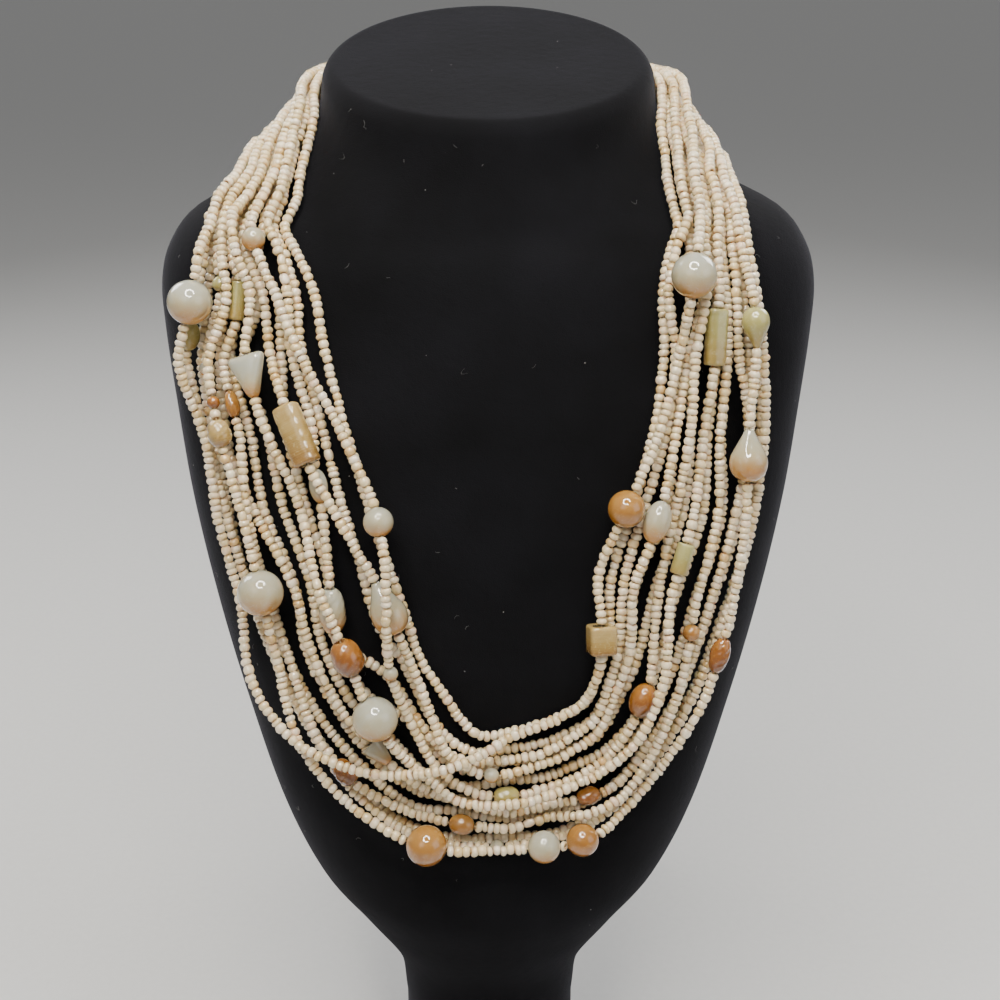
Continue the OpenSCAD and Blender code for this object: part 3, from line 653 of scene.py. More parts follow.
@dataclass(frozen=True)
class SatinBrass:
    """Brushed and lacquered brass, as on a necklace's slide clasp."""

    colour: str = "#B8935A"
    stain: str = "#94703C"
    stain_mm: float = 5.0
    grain_mm: float = 0.12

    def build(self) -> bpy.types.Material:
        """Make the material."""
        material, tree, place = new_material("brushed_brass")
        across = node(tree, "Mapping", {"Vector": place, "Scale": (0.06, 1.0, 1.0)})
        grain = noise(tree, across.outputs["Vector"], self.grain_mm)
        colour = blend_colour(tree, noise(tree, place, self.stain_mm), self.colour, self.stain)
        finish_surface(tree, {
            "Base Color": colour, "Metallic": 1.0,
            "Roughness": span(tree, grain, 0.0, 1.0, 0.24, 0.46)},
            [(grain, 0.2, 0.0001)])
        return material


@dataclass(frozen=True)
class PaleBoard:
    """Matt off-white studio board for the floor."""

    colour: str = "#DAD9D6"
    fibre: str = "#D2D1CE"
    fibre_mm: float = 3.0

    def build(self) -> bpy.types.Material:
        """Make the material."""
        material, tree, place = new_material("pale_studio_board")
        fibre = noise(tree, place, self.fibre_mm, 3.0)
        colour = blend_colour(tree, fibre, self.colour, self.fibre)
        finish_surface(tree, {"Base Color": colour, "Roughness": 0.85}, [(fibre, 0.08, 0.0002)])
        return material


# Where things lie, worked out as in the part's source

@dataclass
class BustSurface:
    """The velvet surface of the bust, in millimetres.

    A point has a turn, in degrees from the front, and a level, in percent of the bust's height. A
    level's outline is an ellipse with its own front and back, and above tilt_start it is sheared
    forward.
    """

    height: float = 342.0
    width: float = 190.0
    depth: float = 110.0
    tilt: float = 18.0
    tilt_start: float = 83.0

    def point(self, turn: np.ndarray, level: np.ndarray) -> np.ndarray:
        """Find points of the surface.

        Args:
            turn: degrees from the front, plus to the right.
            level: percent of the height.

        Returns:
            Points, with xyz on the last axis.
        """
        turn, level = np.broadcast_arrays(np.asarray(turn, float), np.asarray(level, float))
        angle = np.radians(turn)
        half = curve(BUST_SECTIONS, level, 1) / 200 * self.width
        middle = curve(BUST_SECTIONS, level, 2) / 100 * self.depth
        reach = np.where(np.cos(angle) > 0, curve(BUST_SECTIONS, level, 3),
                         curve(BUST_SECTIONS, level, 4)) / 200 * self.depth
        back = -reach * np.cos(angle)
        lean = smooth((level - self.tilt_start) / (100 - self.tilt_start))
        return np.stack([
            half * np.sin(angle), middle + back,
            level / 100 * self.height
            + back * math.tan(math.radians(self.tilt)) * lean], -1)

    def outward(self, turn: np.ndarray, level: np.ndarray) -> np.ndarray:
        """Give the outward direction: across the surface, round by up."""
        here = self.point(turn, level)
        return unit(np.cross(self.point(turn + 0.1, level) - here,
                             self.point(turn, level + 0.02) - here))


@dataclass
class Band:
    """The band of lanes that the strands fill, clasp to clasp."""

    bust: BustSurface
    gather_end: float = 6.8
    gather_run: float = 1.8

    def gathered(self, place: np.ndarray) -> np.ndarray:
        """Say how far the lanes pile up one way, behind the neck."""
        near = np.minimum(place, 30 - place)
        return smooth((self.gather_end - near) / self.gather_run)

    def spot(self, place: np.ndarray, lane: np.ndarray) -> tuple[np.ndarray, np.ndarray]:
        """Turn a place and a lane into a turn and a level of the bust."""
        share = lane / 100
        return (curve(BAND, place, 1) * (1 - share) + curve(BAND, place, 3) * share,
                curve(BAND, place, 2) * (1 - share) + curve(BAND, place, 4) * share)

    def foot(self, place: np.ndarray, lane: np.ndarray) -> np.ndarray:
        """Find the point of the bust under a place and a lane."""
        return self.bust.point(*self.spot(place, lane))

    def out(self, place: np.ndarray, lane: np.ndarray) -> np.ndarray:
        """Give the way that strands pile up: out of the bust.

        Behind the neck it turns to the middle lane's own direction.
        """
        own = self.bust.outward(*self.spot(place, lane))
        middle = self.bust.outward(*self.spot(place, 0 * lane + 50.0))
        share = self.gathered(place)[..., None]
        return unit(own * (1 - share) + middle * share)

    def above(self, place: np.ndarray, lane: np.ndarray, height: np.ndarray) -> np.ndarray:
        """Find the point at a height over a place and a lane."""
        place, lane, height = np.broadcast_arrays(
            np.asarray(place, float), np.asarray(lane, float),
            np.asarray(height, float))
        return self.foot(place, lane) + height[..., None] * self.out(place, lane)


@dataclass
class Pile:
    """How the strands lie on the bust and on each other."""

    band: Band
    diameter: float = 2.7
    stone_size: float = 12.5
    gap: float = 0.3
    clasp_length: float = 9.0
    rule_steps: int = 3
    push_share: float = 0.5
    push_reach: float = 3.0
    slack: float = 1.3
    lanes: np.ndarray = field(init=False)
    heights: np.ndarray = field(init=False)

    def __post_init__(self) -> None:
        """Work out the lanes and heights at every ring."""
        self.radius = self.diameter / 2
        self.pitch = self.diameter + self.gap
        self.stones = [self._stones_of(i) for i in range(len(STRANDS))]
        self.lanes = self._pushed_lanes()
        self.heights = self._heights()

    def lane_of(self, i: int, place: np.ndarray) -> np.ndarray:
        """Read strand i's own lane."""
        return curve(STRANDS[i], np.asarray(place, float), 1)

    def step_length(self, i: int, place: float) -> float:
        """Give the millimetres to one place along strand i."""
        ends = np.array([place + 0.1, place - 0.1])
        p = self.band.above(ends, self.lane_of(i, place), self.radius)
        return float(np.linalg.norm(p[0] - p[1])) / 0.2

    def _stones_of(self, i: int) -> np.ndarray:
        """List strand i's stones: place, half length, half width, step."""
        rows = [(s.place, s.length / 200 * self.stone_size,
                 s.width / 200 * self.stone_size
                 * (math.sqrt(2) if s.cut is Cut.CUBE else 1),
                 self.step_length(i, s.place))
                for s in STONES if s.strand == i + 1]
        return np.array(rows).reshape(-1, 4)

    def room(self, i: int, place: np.ndarray) -> np.ndarray:
        """Give strand i's radius, or its stone's, at each place."""
        room = np.full(len(place), self.radius)
        for where, along, half, step in self.stones[i]:
            d = np.abs(place - where) * step
            far = half * (1 - ((d - along * 0.6) / (along * 0.4 + self.pitch)) ** 2)
            here = np.where(d < along * 0.6, half, np.where(d > along + self.pitch, 0, far))
            room = np.maximum(room, here)
        return room

    def _pushed_lanes(self) -> np.ndarray:
        """Push the strands under a stone bead aside at each ring."""
        wide = np.linalg.norm(np.cross(
            self.band.above(RING_PLACES, 100.0, self.radius)
            - self.band.above(RING_PLACES, 0.0, self.radius),
            unit(self.band.above(RING_PLACES + 0.1, 50.0, self.radius)
                 - self.band.above(RING_PLACES - 0.1, 50.0, self.radius))
        ), axis=-1)
        lanes = []
        for i in range(len(STRANDS)):
            lane = self.lane_of(i, RING_PLACES)
            free = 1 - np.minimum(np.abs(lane / 50 - 1), 1) ** 4
            room, pushed = self.room(i, RING_PLACES), 0 * lane
            for j in range(i + 1, len(STRANDS)):
                other = self.lane_of(j, RING_PLACES)
                across = (lane - other) / 100 * wide
                for where, along, half, step in self.stones[j]:
                    d = np.abs(RING_PLACES - where) * step
                    far = along + self.push_reach * self.pitch
                    fade = 1 - ((d - along / 2) / (far - along / 2)) ** 2
                    fade = np.where(d < along / 2, 1, np.where(d >= far, 0, fade))
                    clear = (half + room + self.gap) * fade ** 2
                    pushed += np.where(across >= 0, 1, -1) * (
                        np.hypot(across, clear) - np.abs(across)
                    ) / wide * 100
            lanes.append(lane + self.push_share * free * pushed)
        return np.array(lanes)

    def _heights(self) -> np.ndarray:
        """Lay each strand on the ones below, ring by ring.

        A strand needs the height at which its circle clears each lower one, and a ring takes the
        tallest need up to the rings beside it.
        """
        n, steps = len(RING_PLACES), self.rule_steps
        at = np.arange((n - 1) * steps + 1) / steps
        rings = np.arange(n)
        places = np.interp(at, rings, RING_PLACES)
        ways = unit(self.band.above(places + 0.1, 50.0, self.pitch)
                    - self.band.above(places - 0.1, 50.0, self.pitch))
        lift = self.gap + curve(BAND, places, 5) / 100 * self.diameter
        lanes = np.array([np.interp(at, rings, lane) for lane in self.lanes])
        rooms = np.array([self.room(i, places) for i in range(len(STRANDS))])
        spread = np.broadcast_to(places, lanes.shape)
        feet = self.band.foot(spread, lanes)
        outs = self.band.out(spread, lanes)
        slack = self.gap * self.slack * self.band.gathered(places)
        heights, fine = [], []
        for i in range(len(STRANDS)):
            need = rooms[i] + lift
            for j in range(i):
                apart = rooms[i] + rooms[j] + self.gap
                across = np.linalg.norm(np.cross(
                    feet[i] - feet[j] + (fine[j] + apart / 2)[:, None]
                    * (outs[i] - outs[j]), ways), axis=-1)
                now = lanes[i] - lanes[j]
                crossing = now * np.append(now[1:], now[-1]) < 0
                across = np.where(crossing, 0, across)
                rise = np.sqrt(np.maximum(apart ** 2 - across ** 2, 0))
                need = np.maximum(need, np.where(across < apart, fine[j] + rise + slack, 0))
            ring = np.array([need[max(0, (k - 1) * steps + 1):
                                  min(len(need), (k + 1) * steps)].max()
                             for k in range(n)])
            heights.append(ring)
            fine.append(np.interp(at, rings, ring))
        return np.array(heights)

    def point(self, i: int, place: np.ndarray) -> np.ndarray:
        """Find points of strand i, straight from ring to ring."""
        place = np.atleast_1d(np.asarray(place, float))
        p = self.band.above(
            place, np.interp(place, RING_PLACES, self.lanes[i]),
            np.interp(place, RING_PLACES, self.heights[i]))
        end = self.clasp_length / 2 + self.gap
        p[place == 0, 0], p[place == 30, 0] = -end, end
        return p

    def seat(self, i: int, place: float, along: float, step: float
             ) -> tuple[np.ndarray, np.ndarray, np.ndarray]:
        """Find a stone's middle, its bore's direction and its outside.

        Args:
            i: the strand.
            place: the place along the band.
            along: the stone's half length.
            step: millimetres to one place.

        Returns:
            The middle, the direction along the bore, and outward.
        """
        e = (along + self.pitch) / step
        middle, after, before = self.point(i, np.array([place, place + e, place - e]))
        out = self.band.out(np.array([place]), self.lane_of(i, np.array([place])))[0]
        return middle, unit(after - before), out

    def route(self, i: int) -> tuple[np.ndarray, list[tuple[int, int]]]:
        """List the points that strand i runs through.

        Args:
            i: the strand.

        Returns:
            The points, and for each stone the numbers of the points at its two mouths.
        """
        points: list[np.ndarray] = []
        mouths: list[tuple[int, int]] = []
        low = -1.0
        for where, along, _, step in [*self.stones[i], (99, 0, 0, 1)]:
            reach = (along + self.pitch * 1.3) / step
            free = RING_PLACES[(RING_PLACES > low) & (RING_PLACES < where - reach)]
            points.extend(self.point(i, free) if len(free) else [])
            low = where + reach
            if where < 31:
                middle, way, _ = self.seat(i, where, along, step)
                end = along + self.gap
                mouths.append((len(points), len(points) + 1))
                points.extend([middle - way * end, middle + way * end])
        return np.array(points), mouths


# The necklace

def hoops(side: np.ndarray, over: np.ndarray, count: int) -> np.ndarray:
    """Give directions round a string, evenly turned.

    A direction is the cosine of its turn times side, plus the sine times over.

    Args:
        side: n by 3, across the string.
        over: n by 3, square to the string and to side.
        count: how many directions.

    Returns:
        n by count by 3.
    """
    turn = np.arange(count) * 2 * math.pi / count
    return (np.cos(turn)[None, :, None] * side[:, None, :]
            + np.sin(turn)[None, :, None] * over[:, None, :])


def along_path(points: np.ndarray) -> np.ndarray:
    """Give each point's distance along a path, as a table with xyz."""
    steps = np.linalg.norm(np.diff(points, axis=0), axis=1)
    return np.column_stack([np.concatenate([[0], np.cumsum(steps)]), points])


def read_path(table: np.ndarray, s: np.ndarray) -> tuple[np.ndarray, np.ndarray]:
    """Read points and directions of a smooth path.

    Args:
        table: distance and xyz of the points that it runs through.
        s: distances to read.

    Returns:
        Points and unit directions.
    """
    def spot(at: np.ndarray) -> np.ndarray:
        return np.stack([curve(table, at, k) for k in (1, 2, 3)], -1)
    return spot(s), unit(spot(s + 0.05) - spot(s - 0.05))


@dataclass(frozen=True)
class BeadSpread:
    """How seed beads differ, in shares of the mean bead."""

    length: float = 0.15
    length_range: tuple[float, float] = (0.68, 1.4)
    long_chance: float = 0.015
    long_length: float = 1.6
    long_width: float = 0.86
    width_mean: float = 0.99
    width: float = 0.06
    width_range: tuple[float, float] = (0.82, 1.08)
    lean: float = 0.12
    offset_mm: float = 0.09
    tone: float = 0.2
    tone_range: tuple[float, float] = (0.05, 0.95)


@dataclass
class SeedStrand:
    """One string of seed beads on its thread.

    A bead is a short tube with round shoulders. Its outline runs from one mouth over the shoulders
    to the other mouth and back through the hole. It has a row for each ring: along, out, and its
    share of painted warm shade, strongest at the mouths where beads meet. Half lengths are a little
    over a half, so that beads touch.
    """

    number: int
    pile: Pile
    seed: int
    spread: BeadSpread = BeadSpread()
    mean_length: float = 1.96
    half_length: float = 0.54
    plumpness: float = 1.11
    around: int = 10
    least_stretch: float = 0.8
    thread_radius: float = 0.22
    thread_rings: int = 240
    thread_sides: int = 5
    thread_tone: float = 0.3
    # The third column is each ring's share of painted shade, strongest at the mouths where beads meet.
    outline: tuple[tuple[float, float, float], ...] = (
        (-0.9, 0.34, 1.0), (-0.96, 0.58, 0.5), (-0.62, 0.86, 0.05),
        (0.0, 1.02, 0.0), (0.62, 0.86, 0.05), (0.96, 0.58, 0.5),
        (0.9, 0.34, 1.0))

    def lengths(self, rng: np.random.Generator, room: float) -> np.ndarray:
        """Draw bead lengths that fill a stretch.

        Args:
            rng: the strand's random source.
            room: the stretch's length.

        Returns:
            The lengths, with a long bead now and then.
        """
        count = max(1, round(room / self.mean_length))
        sizes = np.clip(rng.normal(1.0, self.spread.length, count), *self.spread.length_range)
        sizes = np.where(rng.random(count) < self.spread.long_chance, self.spread.long_length, sizes)
        return sizes * room / sizes.sum()

    def build(self, material: bpy.types.Material) -> bpy.types.Object:
        """String the beads and dress them.

        Args:
            material: the seed glass.

        Returns:
            The piece.
        """
        rng = np.random.default_rng(self.seed)
        points, mouths = self.pile.route(self.number)
        table = along_path(points)
        total = table[-1, 0]
        stops = [0.0, *[table[k, 0] for pair in mouths for k in pair], total]
        starts, sizes = [], []
        for low, high in zip(stops[0::2], stops[1::2]):
            if high - low < self.least_stretch:
                continue
            length = self.lengths(rng, high - low)
            starts.append(low + np.concatenate([[0], np.cumsum(length)[:-1]]))
            sizes.append(length)
        start, length = np.concatenate(starts), np.concatenate(sizes)
        verts, faces, tone, mouth = self._beads(rng, table, start + length / 2, length)
        thread, thread_faces = self._thread(table)
        extra = np.zeros(len(thread))
        # The mouth values are each corner's share of painted shade at the bead's ends; the thread takes
        # none.
        piece = build_mesh(
            f"seed_beads_{self.number + 1:02d}",
            np.concatenate([verts, thread]) * MM,
            np.concatenate([faces, thread_faces + len(tone)]),
            {"tone": np.concatenate([tone, extra + self.thread_tone]),
             "mouth": np.concatenate([mouth, extra])})
        dress(piece, material, "seed_beads", f"strand_{self.number + 1:02d}")
        LOG.info("%s: %d beads on %.0f mm", piece.name, len(length), total)
        return piece

    def _beads(self, rng: np.random.Generator, table: np.ndarray, middle: np.ndarray, length: np.ndarray
               ) -> tuple[np.ndarray, np.ndarray, np.ndarray, np.ndarray]:
        """Make all the beads of the strand as one set of arrays.

        Each corner is its bead's middle, plus its share of the length along the bead, plus its
        share of the radius round it.
        """
        n, m = len(middle), len(self.outline)
        centre, way = read_path(table, middle)
        way = unit(way + rng.normal(0, self.spread.lean, (n, 3)))
        side = unit(np.cross(way, rng.normal(0, 1, (n, 3))))
        over = np.cross(way, side)
        radius = self.pile.radius * self.plumpness * np.clip(
            rng.normal(self.spread.width_mean, self.spread.width, n),
            *self.spread.width_range)
        radius = np.where(length > 1.5 * self.mean_length, radius * self.spread.long_width, radius)
        centre = centre + rng.normal(0, self.spread.offset_mm, (n, 3))
        shape = np.array(self.outline)
        ring = hoops(side, over, self.around)
        axial = shape[:, 0][None, :] * length[:, None] * self.half_length
        radial = shape[:, 1][None, :] * radius[:, None]
        verts = (centre[:, None, None, :] + axial[:, :, None, None] * way[:, None, None, :]
                 + radial[:, :, None, None] * ring[:, None, :, :])
        faces = grid_faces(m, self.around, close_rows=True)
        faces = (faces[None] + (np.arange(n) * m * self.around)[:, None, None]).reshape(-1, 4)
        tone = np.clip(rng.normal(0.5, self.spread.tone, n), *self.spread.tone_range)
        # The last array carries each corner's share of painted shade at the bead's ends.
        return (verts.reshape(-1, 3), faces, np.repeat(tone, m * self.around),
                np.tile(np.repeat(shape[:, 2], self.around), n))

    def _thread(self, table: np.ndarray) -> tuple[np.ndarray, np.ndarray]:
        """Run the thread through all the beads: a five-sided tube."""
        n, sides = self.thread_rings, self.thread_sides
        centre, way = read_path(table, np.linspace(0, table[-1, 0], n))
        side = unit(np.cross(way, [0.3, 0.4, 0.86]))
        ring = hoops(side, np.cross(way, side), sides)
        verts = centre[:, None, :] + self.thread_radius * ring
        near, far = np.arange(sides), np.arange(sides) + (n - 1) * sides
        caps = np.array([[*near[:0:-1]], [near[4], *near[1::-1], -1],
                         [*far[:4]], [far[0], *far[3:], -1]])
        return verts.reshape(-1, 3), np.concatenate([grid_faces(n, sides), caps])


@dataclass
class StoneBead:
    """One stone bead, cut, drilled and polished.

    Its surface is a stack of rings along the bore. A ring is a rounded rectangle, the power of
    whose curve makes it an ellipse at two and squarer above, and the last ring joins the first
    through the bore.
    """

    row: Stone
    pile: Pile
    bore_radius: float = 0.6
    around: int = 44
    profile_rings: int = 33
    side_rings: int = 23
    edge_rings: int = 6
    drop_mouth: float = 0.24
    wedge_thickness: float = 0.5
    wedge_edge: float = 0.06
    wedge_power: float = 2.6
    rib_rise: tuple[float, float] = (0.93, 0.07)
    rib_power: float = 3.2
    rib_flatness: float = 0.8
    cone_run: tuple[float, float] = (-0.8, 0.9)
    cone_tip: float = 0.42
    cube_power: float = 6.0
    cube_ease: float = 0.98
    nugget_ease: float = 1.08
    # The direction and power of the painted warm glow and shade on each bead's low side.
    painted_glow_way: tuple[float, float, float] = (0.0, -0.15, -1.0)
    painted_glow_power: float = 1.7

    def _rings(self, along: float, wide: float) -> tuple[np.ndarray, np.ndarray, np.ndarray, float]:
        """Give the rings' places, both half widths and their power."""
        t = np.linspace(-1, 1, self.profile_rings)
        end = math.sqrt(1 - (self.bore_radius / wide) ** 2)
        cut = self.row.cut
        if cut in (Cut.ROUND, Cut.OVAL):
            angle = t * math.asin(end)
            z = np.sin(angle) / (1 if cut is Cut.ROUND else end)
            half = np.cos(angle)
            return z * along, half * wide, half * wide, 2.0
        if cut in (Cut.DROP, Cut.TEAR):
            half = curve(DROP_OUTLINE, t * 100, 1) / 100
            half[[0, -1]] = np.minimum(half[[0, -1]], self.drop_mouth)
            sign = 1 if cut is Cut.DROP else -1
            return sign * t * along, half * wide, half * wide, 2.0
        if cut is Cut.WEDGE:
            half = curve(WEDGE_OUTLINE, t * 100, 1) / 100 * wide
            dome = np.minimum(1, np.sqrt(np.maximum(1 - t ** 6, self.wedge_edge)))
            flat = np.minimum(self.wedge_thickness * wide * dome, half * 1.6)
            return t * along, half, flat, self.wedge_power
        edge, rounding = END_SHAPES[cut]
        step = np.linspace(0, math.pi / 2, self.edge_rings)
        z0 = -1 + edge * (1 - np.cos(step))
        inset = rounding * (1 - np.sin(step))
        sides = np.linspace(-1 + edge, 1 - edge, self.side_rings)[1:-1]
        z = np.concatenate([z0, sides, -z0[::-1]])
        half = np.concatenate([1 - inset, np.ones(len(sides)), (1 - inset)[::-1]])
        power, flat = 2.0, 1.0
        if cut is Cut.RIBBED:
            wave = np.abs(np.sin(z * math.pi * 2.5 + 0.4))
            half = half * (self.rib_rise[0] + self.rib_rise[1] * np.sqrt(wave))
            power, flat = self.rib_power, self.rib_flatness
        if cut is Cut.CONE:
            half = half * np.interp(z, self.cone_run, [1.0, self.cone_tip])
        if cut is Cut.CUBE:
            power = self.cube_power
        return z * along, half * wide, half * wide * flat, power

    def _lathe(self, along: float, wide: float) -> tuple[np.ndarray, np.ndarray]:
        """Make a drilled bead from rings along Z."""
        z, x_half, y_half, power = self._rings(along, wide)
        turn = (np.arange(self.around) + 0.5) * 2 * math.pi / self.around
        c, s = np.cos(turn), np.sin(turn)
        span = (np.abs(c) ** power + np.abs(s) ** power) ** (1 / power)
        # A squarer ring still stays inside its half widths
        x = x_half[:, None] * (c / span)[None, :]
        y = y_half[:, None] * (s / span)[None, :]
        if self.row.cut is Cut.CUBE:
            x, y = x * self.cube_ease, y * self.cube_ease
        body = np.stack([x, y, np.broadcast_to(z[:, None], x.shape)], -1)
        hole = [self.bore_radius * c, self.bore_radius * s]
        mouth = np.stack([np.stack([*hole, np.full(self.around, z[k])], -1) for k in (0, -1)])
        rings = np.concatenate([mouth[:1], body, mouth[1:]])
        faces = grid_faces(len(rings), self.around, close_rows=True)
        if z[0] > z[-1]:
            faces = faces[:, ::-1]
        return rings.reshape(-1, 3), faces

    def _nugget(self, along: float, wide: float) -> tuple[np.ndarray, np.ndarray]:
        """Make a drilled lump of flat faces, rings turned half a side."""
        n, m = len(NUGGET_SIDES), len(NUGGET_RINGS)
        j, k = np.arange(n)[None, :], np.arange(m)[:, None]
        angle = (j + k / 2) * 2 * math.pi / n
        # Rounding draws the faces in, so they start a little out
        out = (NUGGET_RINGS[:, 1][:, None] / 100 * wide * self.nugget_ease
               * NUGGET_SIDES[(j + k * 3) % n] / 100)
        z = np.broadcast_to(NUGGET_RINGS[:, 0][:, None] / 100 * along, out.shape)
        body = np.stack([out * np.cos(angle), out * np.sin(angle), z], -1)
        mouth = body[[0, -1]].copy()
        mouth[..., :2] = unit(mouth[..., :2]) * self.bore_radius
        rings = np.concatenate([mouth[:1], body, mouth[1:]])
        quads = grid_faces(m + 2, n, close_rows=True)
        slanted = (quads[:, 0] // n >= 1) & (quads[:, 0] // n < m)
        halves = quads[slanted]
        none = np.full(len(halves), -1)
        faces = np.concatenate([
            quads[~slanted], np.column_stack([halves[:, :3], none]),
            np.column_stack([halves[:, [0, 2, 3]], none])])
        return rings.reshape(-1, 3), faces

    def build(self, material: bpy.types.Material) -> bpy.types.Object:
        """Cut the bead, set it on its strand and dress it.

        Args:
            material: its stone.

        Returns:
            The piece.
        """
        row, size = self.row, self.pile.stone_size
        along, wide = row.length / 200 * size, row.width / 200 * size
        nugget = row.cut is Cut.NUGGET
        points, faces = (self._nugget if nugget else self._lathe)(along, wide)
        step = self.pile.step_length(row.strand - 1, row.place)
        middle, way, out = self.pile.seat(row.strand - 1, row.place, along, step)
        side = unit(np.cross(out, way))
        frame_axes = np.array([side, np.cross(way, side), way])
        place = middle + points @ frame_axes
        # Painted glow and shade: low grows towards the bead's bottom and paints its warm underside.
        down = (place - middle) @ np.array(self.painted_glow_way)
        low = np.clip(0.5 + 0.5 * down / max(along, wide), 0, 1) ** self.painted_glow_power
        piece = build_mesh(
            f"bead_{row.name}", place * MM, faces,
            {"low": low, "tone": np.full(len(place), row.tone), "along": points[:, 2]})
        if nugget:
            tumbled = piece.modifiers.new("tumbled", "SUBSURF")
            tumbled.levels = tumbled.render_levels = 2
        dress(piece, material, row.look.value, row.name)
        LOG.info("%s: %.1f by %.1f mm", piece.name, 2 * along, 2 * wide)
        return piece


@dataclass
class SlideClasp:
    """The plain brass bar that the strands end on, behind the neck."""

    pile: Pile
    length: float = 9.0
    thickness: float = 9.0
    over: float = 1.0
    rows: int = 5
    soft_edge_mm: float = 0.7

    def build(self) -> bpy.types.Object:
        """Make the bar: an outline up the neck, carried across it."""
        low, high = BAND[0, 4] - self.over, BAND[0, 2] + self.over
        levels = np.linspace(low, high, self.rows)
        bust, near = self.pile.band.bust, self.pile.gap * 1.5
        turn = np.full(self.rows, 180.0)
        foot, out = bust.point(turn, levels), bust.outward(turn, levels)
        inner = foot + near * out
        outer = foot + (near + self.thickness) * out
        outline = np.concatenate([inner, outer[::-1]])
        half = self.length / 2
        ends = np.stack([outline + [x, 0, 0] for x in (-half, half)])
        n = len(outline)
        strips = np.stack([
            np.arange(n - 1), np.arange(n - 1) + 1,
            np.arange(n - 1) + n + 1, np.arange(n - 1) + n], -1)
        last = np.array([[n - 1, 0, n, 2 * n - 1]])
        k = np.arange(self.rows - 1)
        cap = np.stack([k, n - 1 - k, n - 2 - k, k + 1], -1)
        caps = np.concatenate([cap, cap[:, ::-1] + n])
        faces = np.concatenate([strips, last, caps])
        piece = build_mesh("clasp_bar", ends.reshape(-1, 3) * MM, faces, shade_smooth=False)
        bevel = piece.modifiers.new("soft_edges", "BEVEL")
        bevel.width, bevel.segments = self.soft_edge_mm * MM, 3
        dress(piece, SatinBrass().build(), "clasp", "clasp")
        LOG.info("clasp_bar: %.0f mm long", self.length)
        return piece


@dataclass
class Necklace:
    """All the strands, their stones and the clasp."""

    pile: Pile
    seed: int = 4100

    def build(self) -> None:
        """Build the strands, the stones and the clasp in order."""
        glass = SeedGlass().build()
        for i in range(len(STRANDS)):
            SeedStrand(i, self.pile, self.seed + i).build(glass)
        stones = {look: finish.build() for look, finish in STONE_FINISHES.items()}
        for row in STONES:
            StoneBead(row, self.pile).build(stones[row.look])
        SlideClasp(self.pile).build()


# The bust

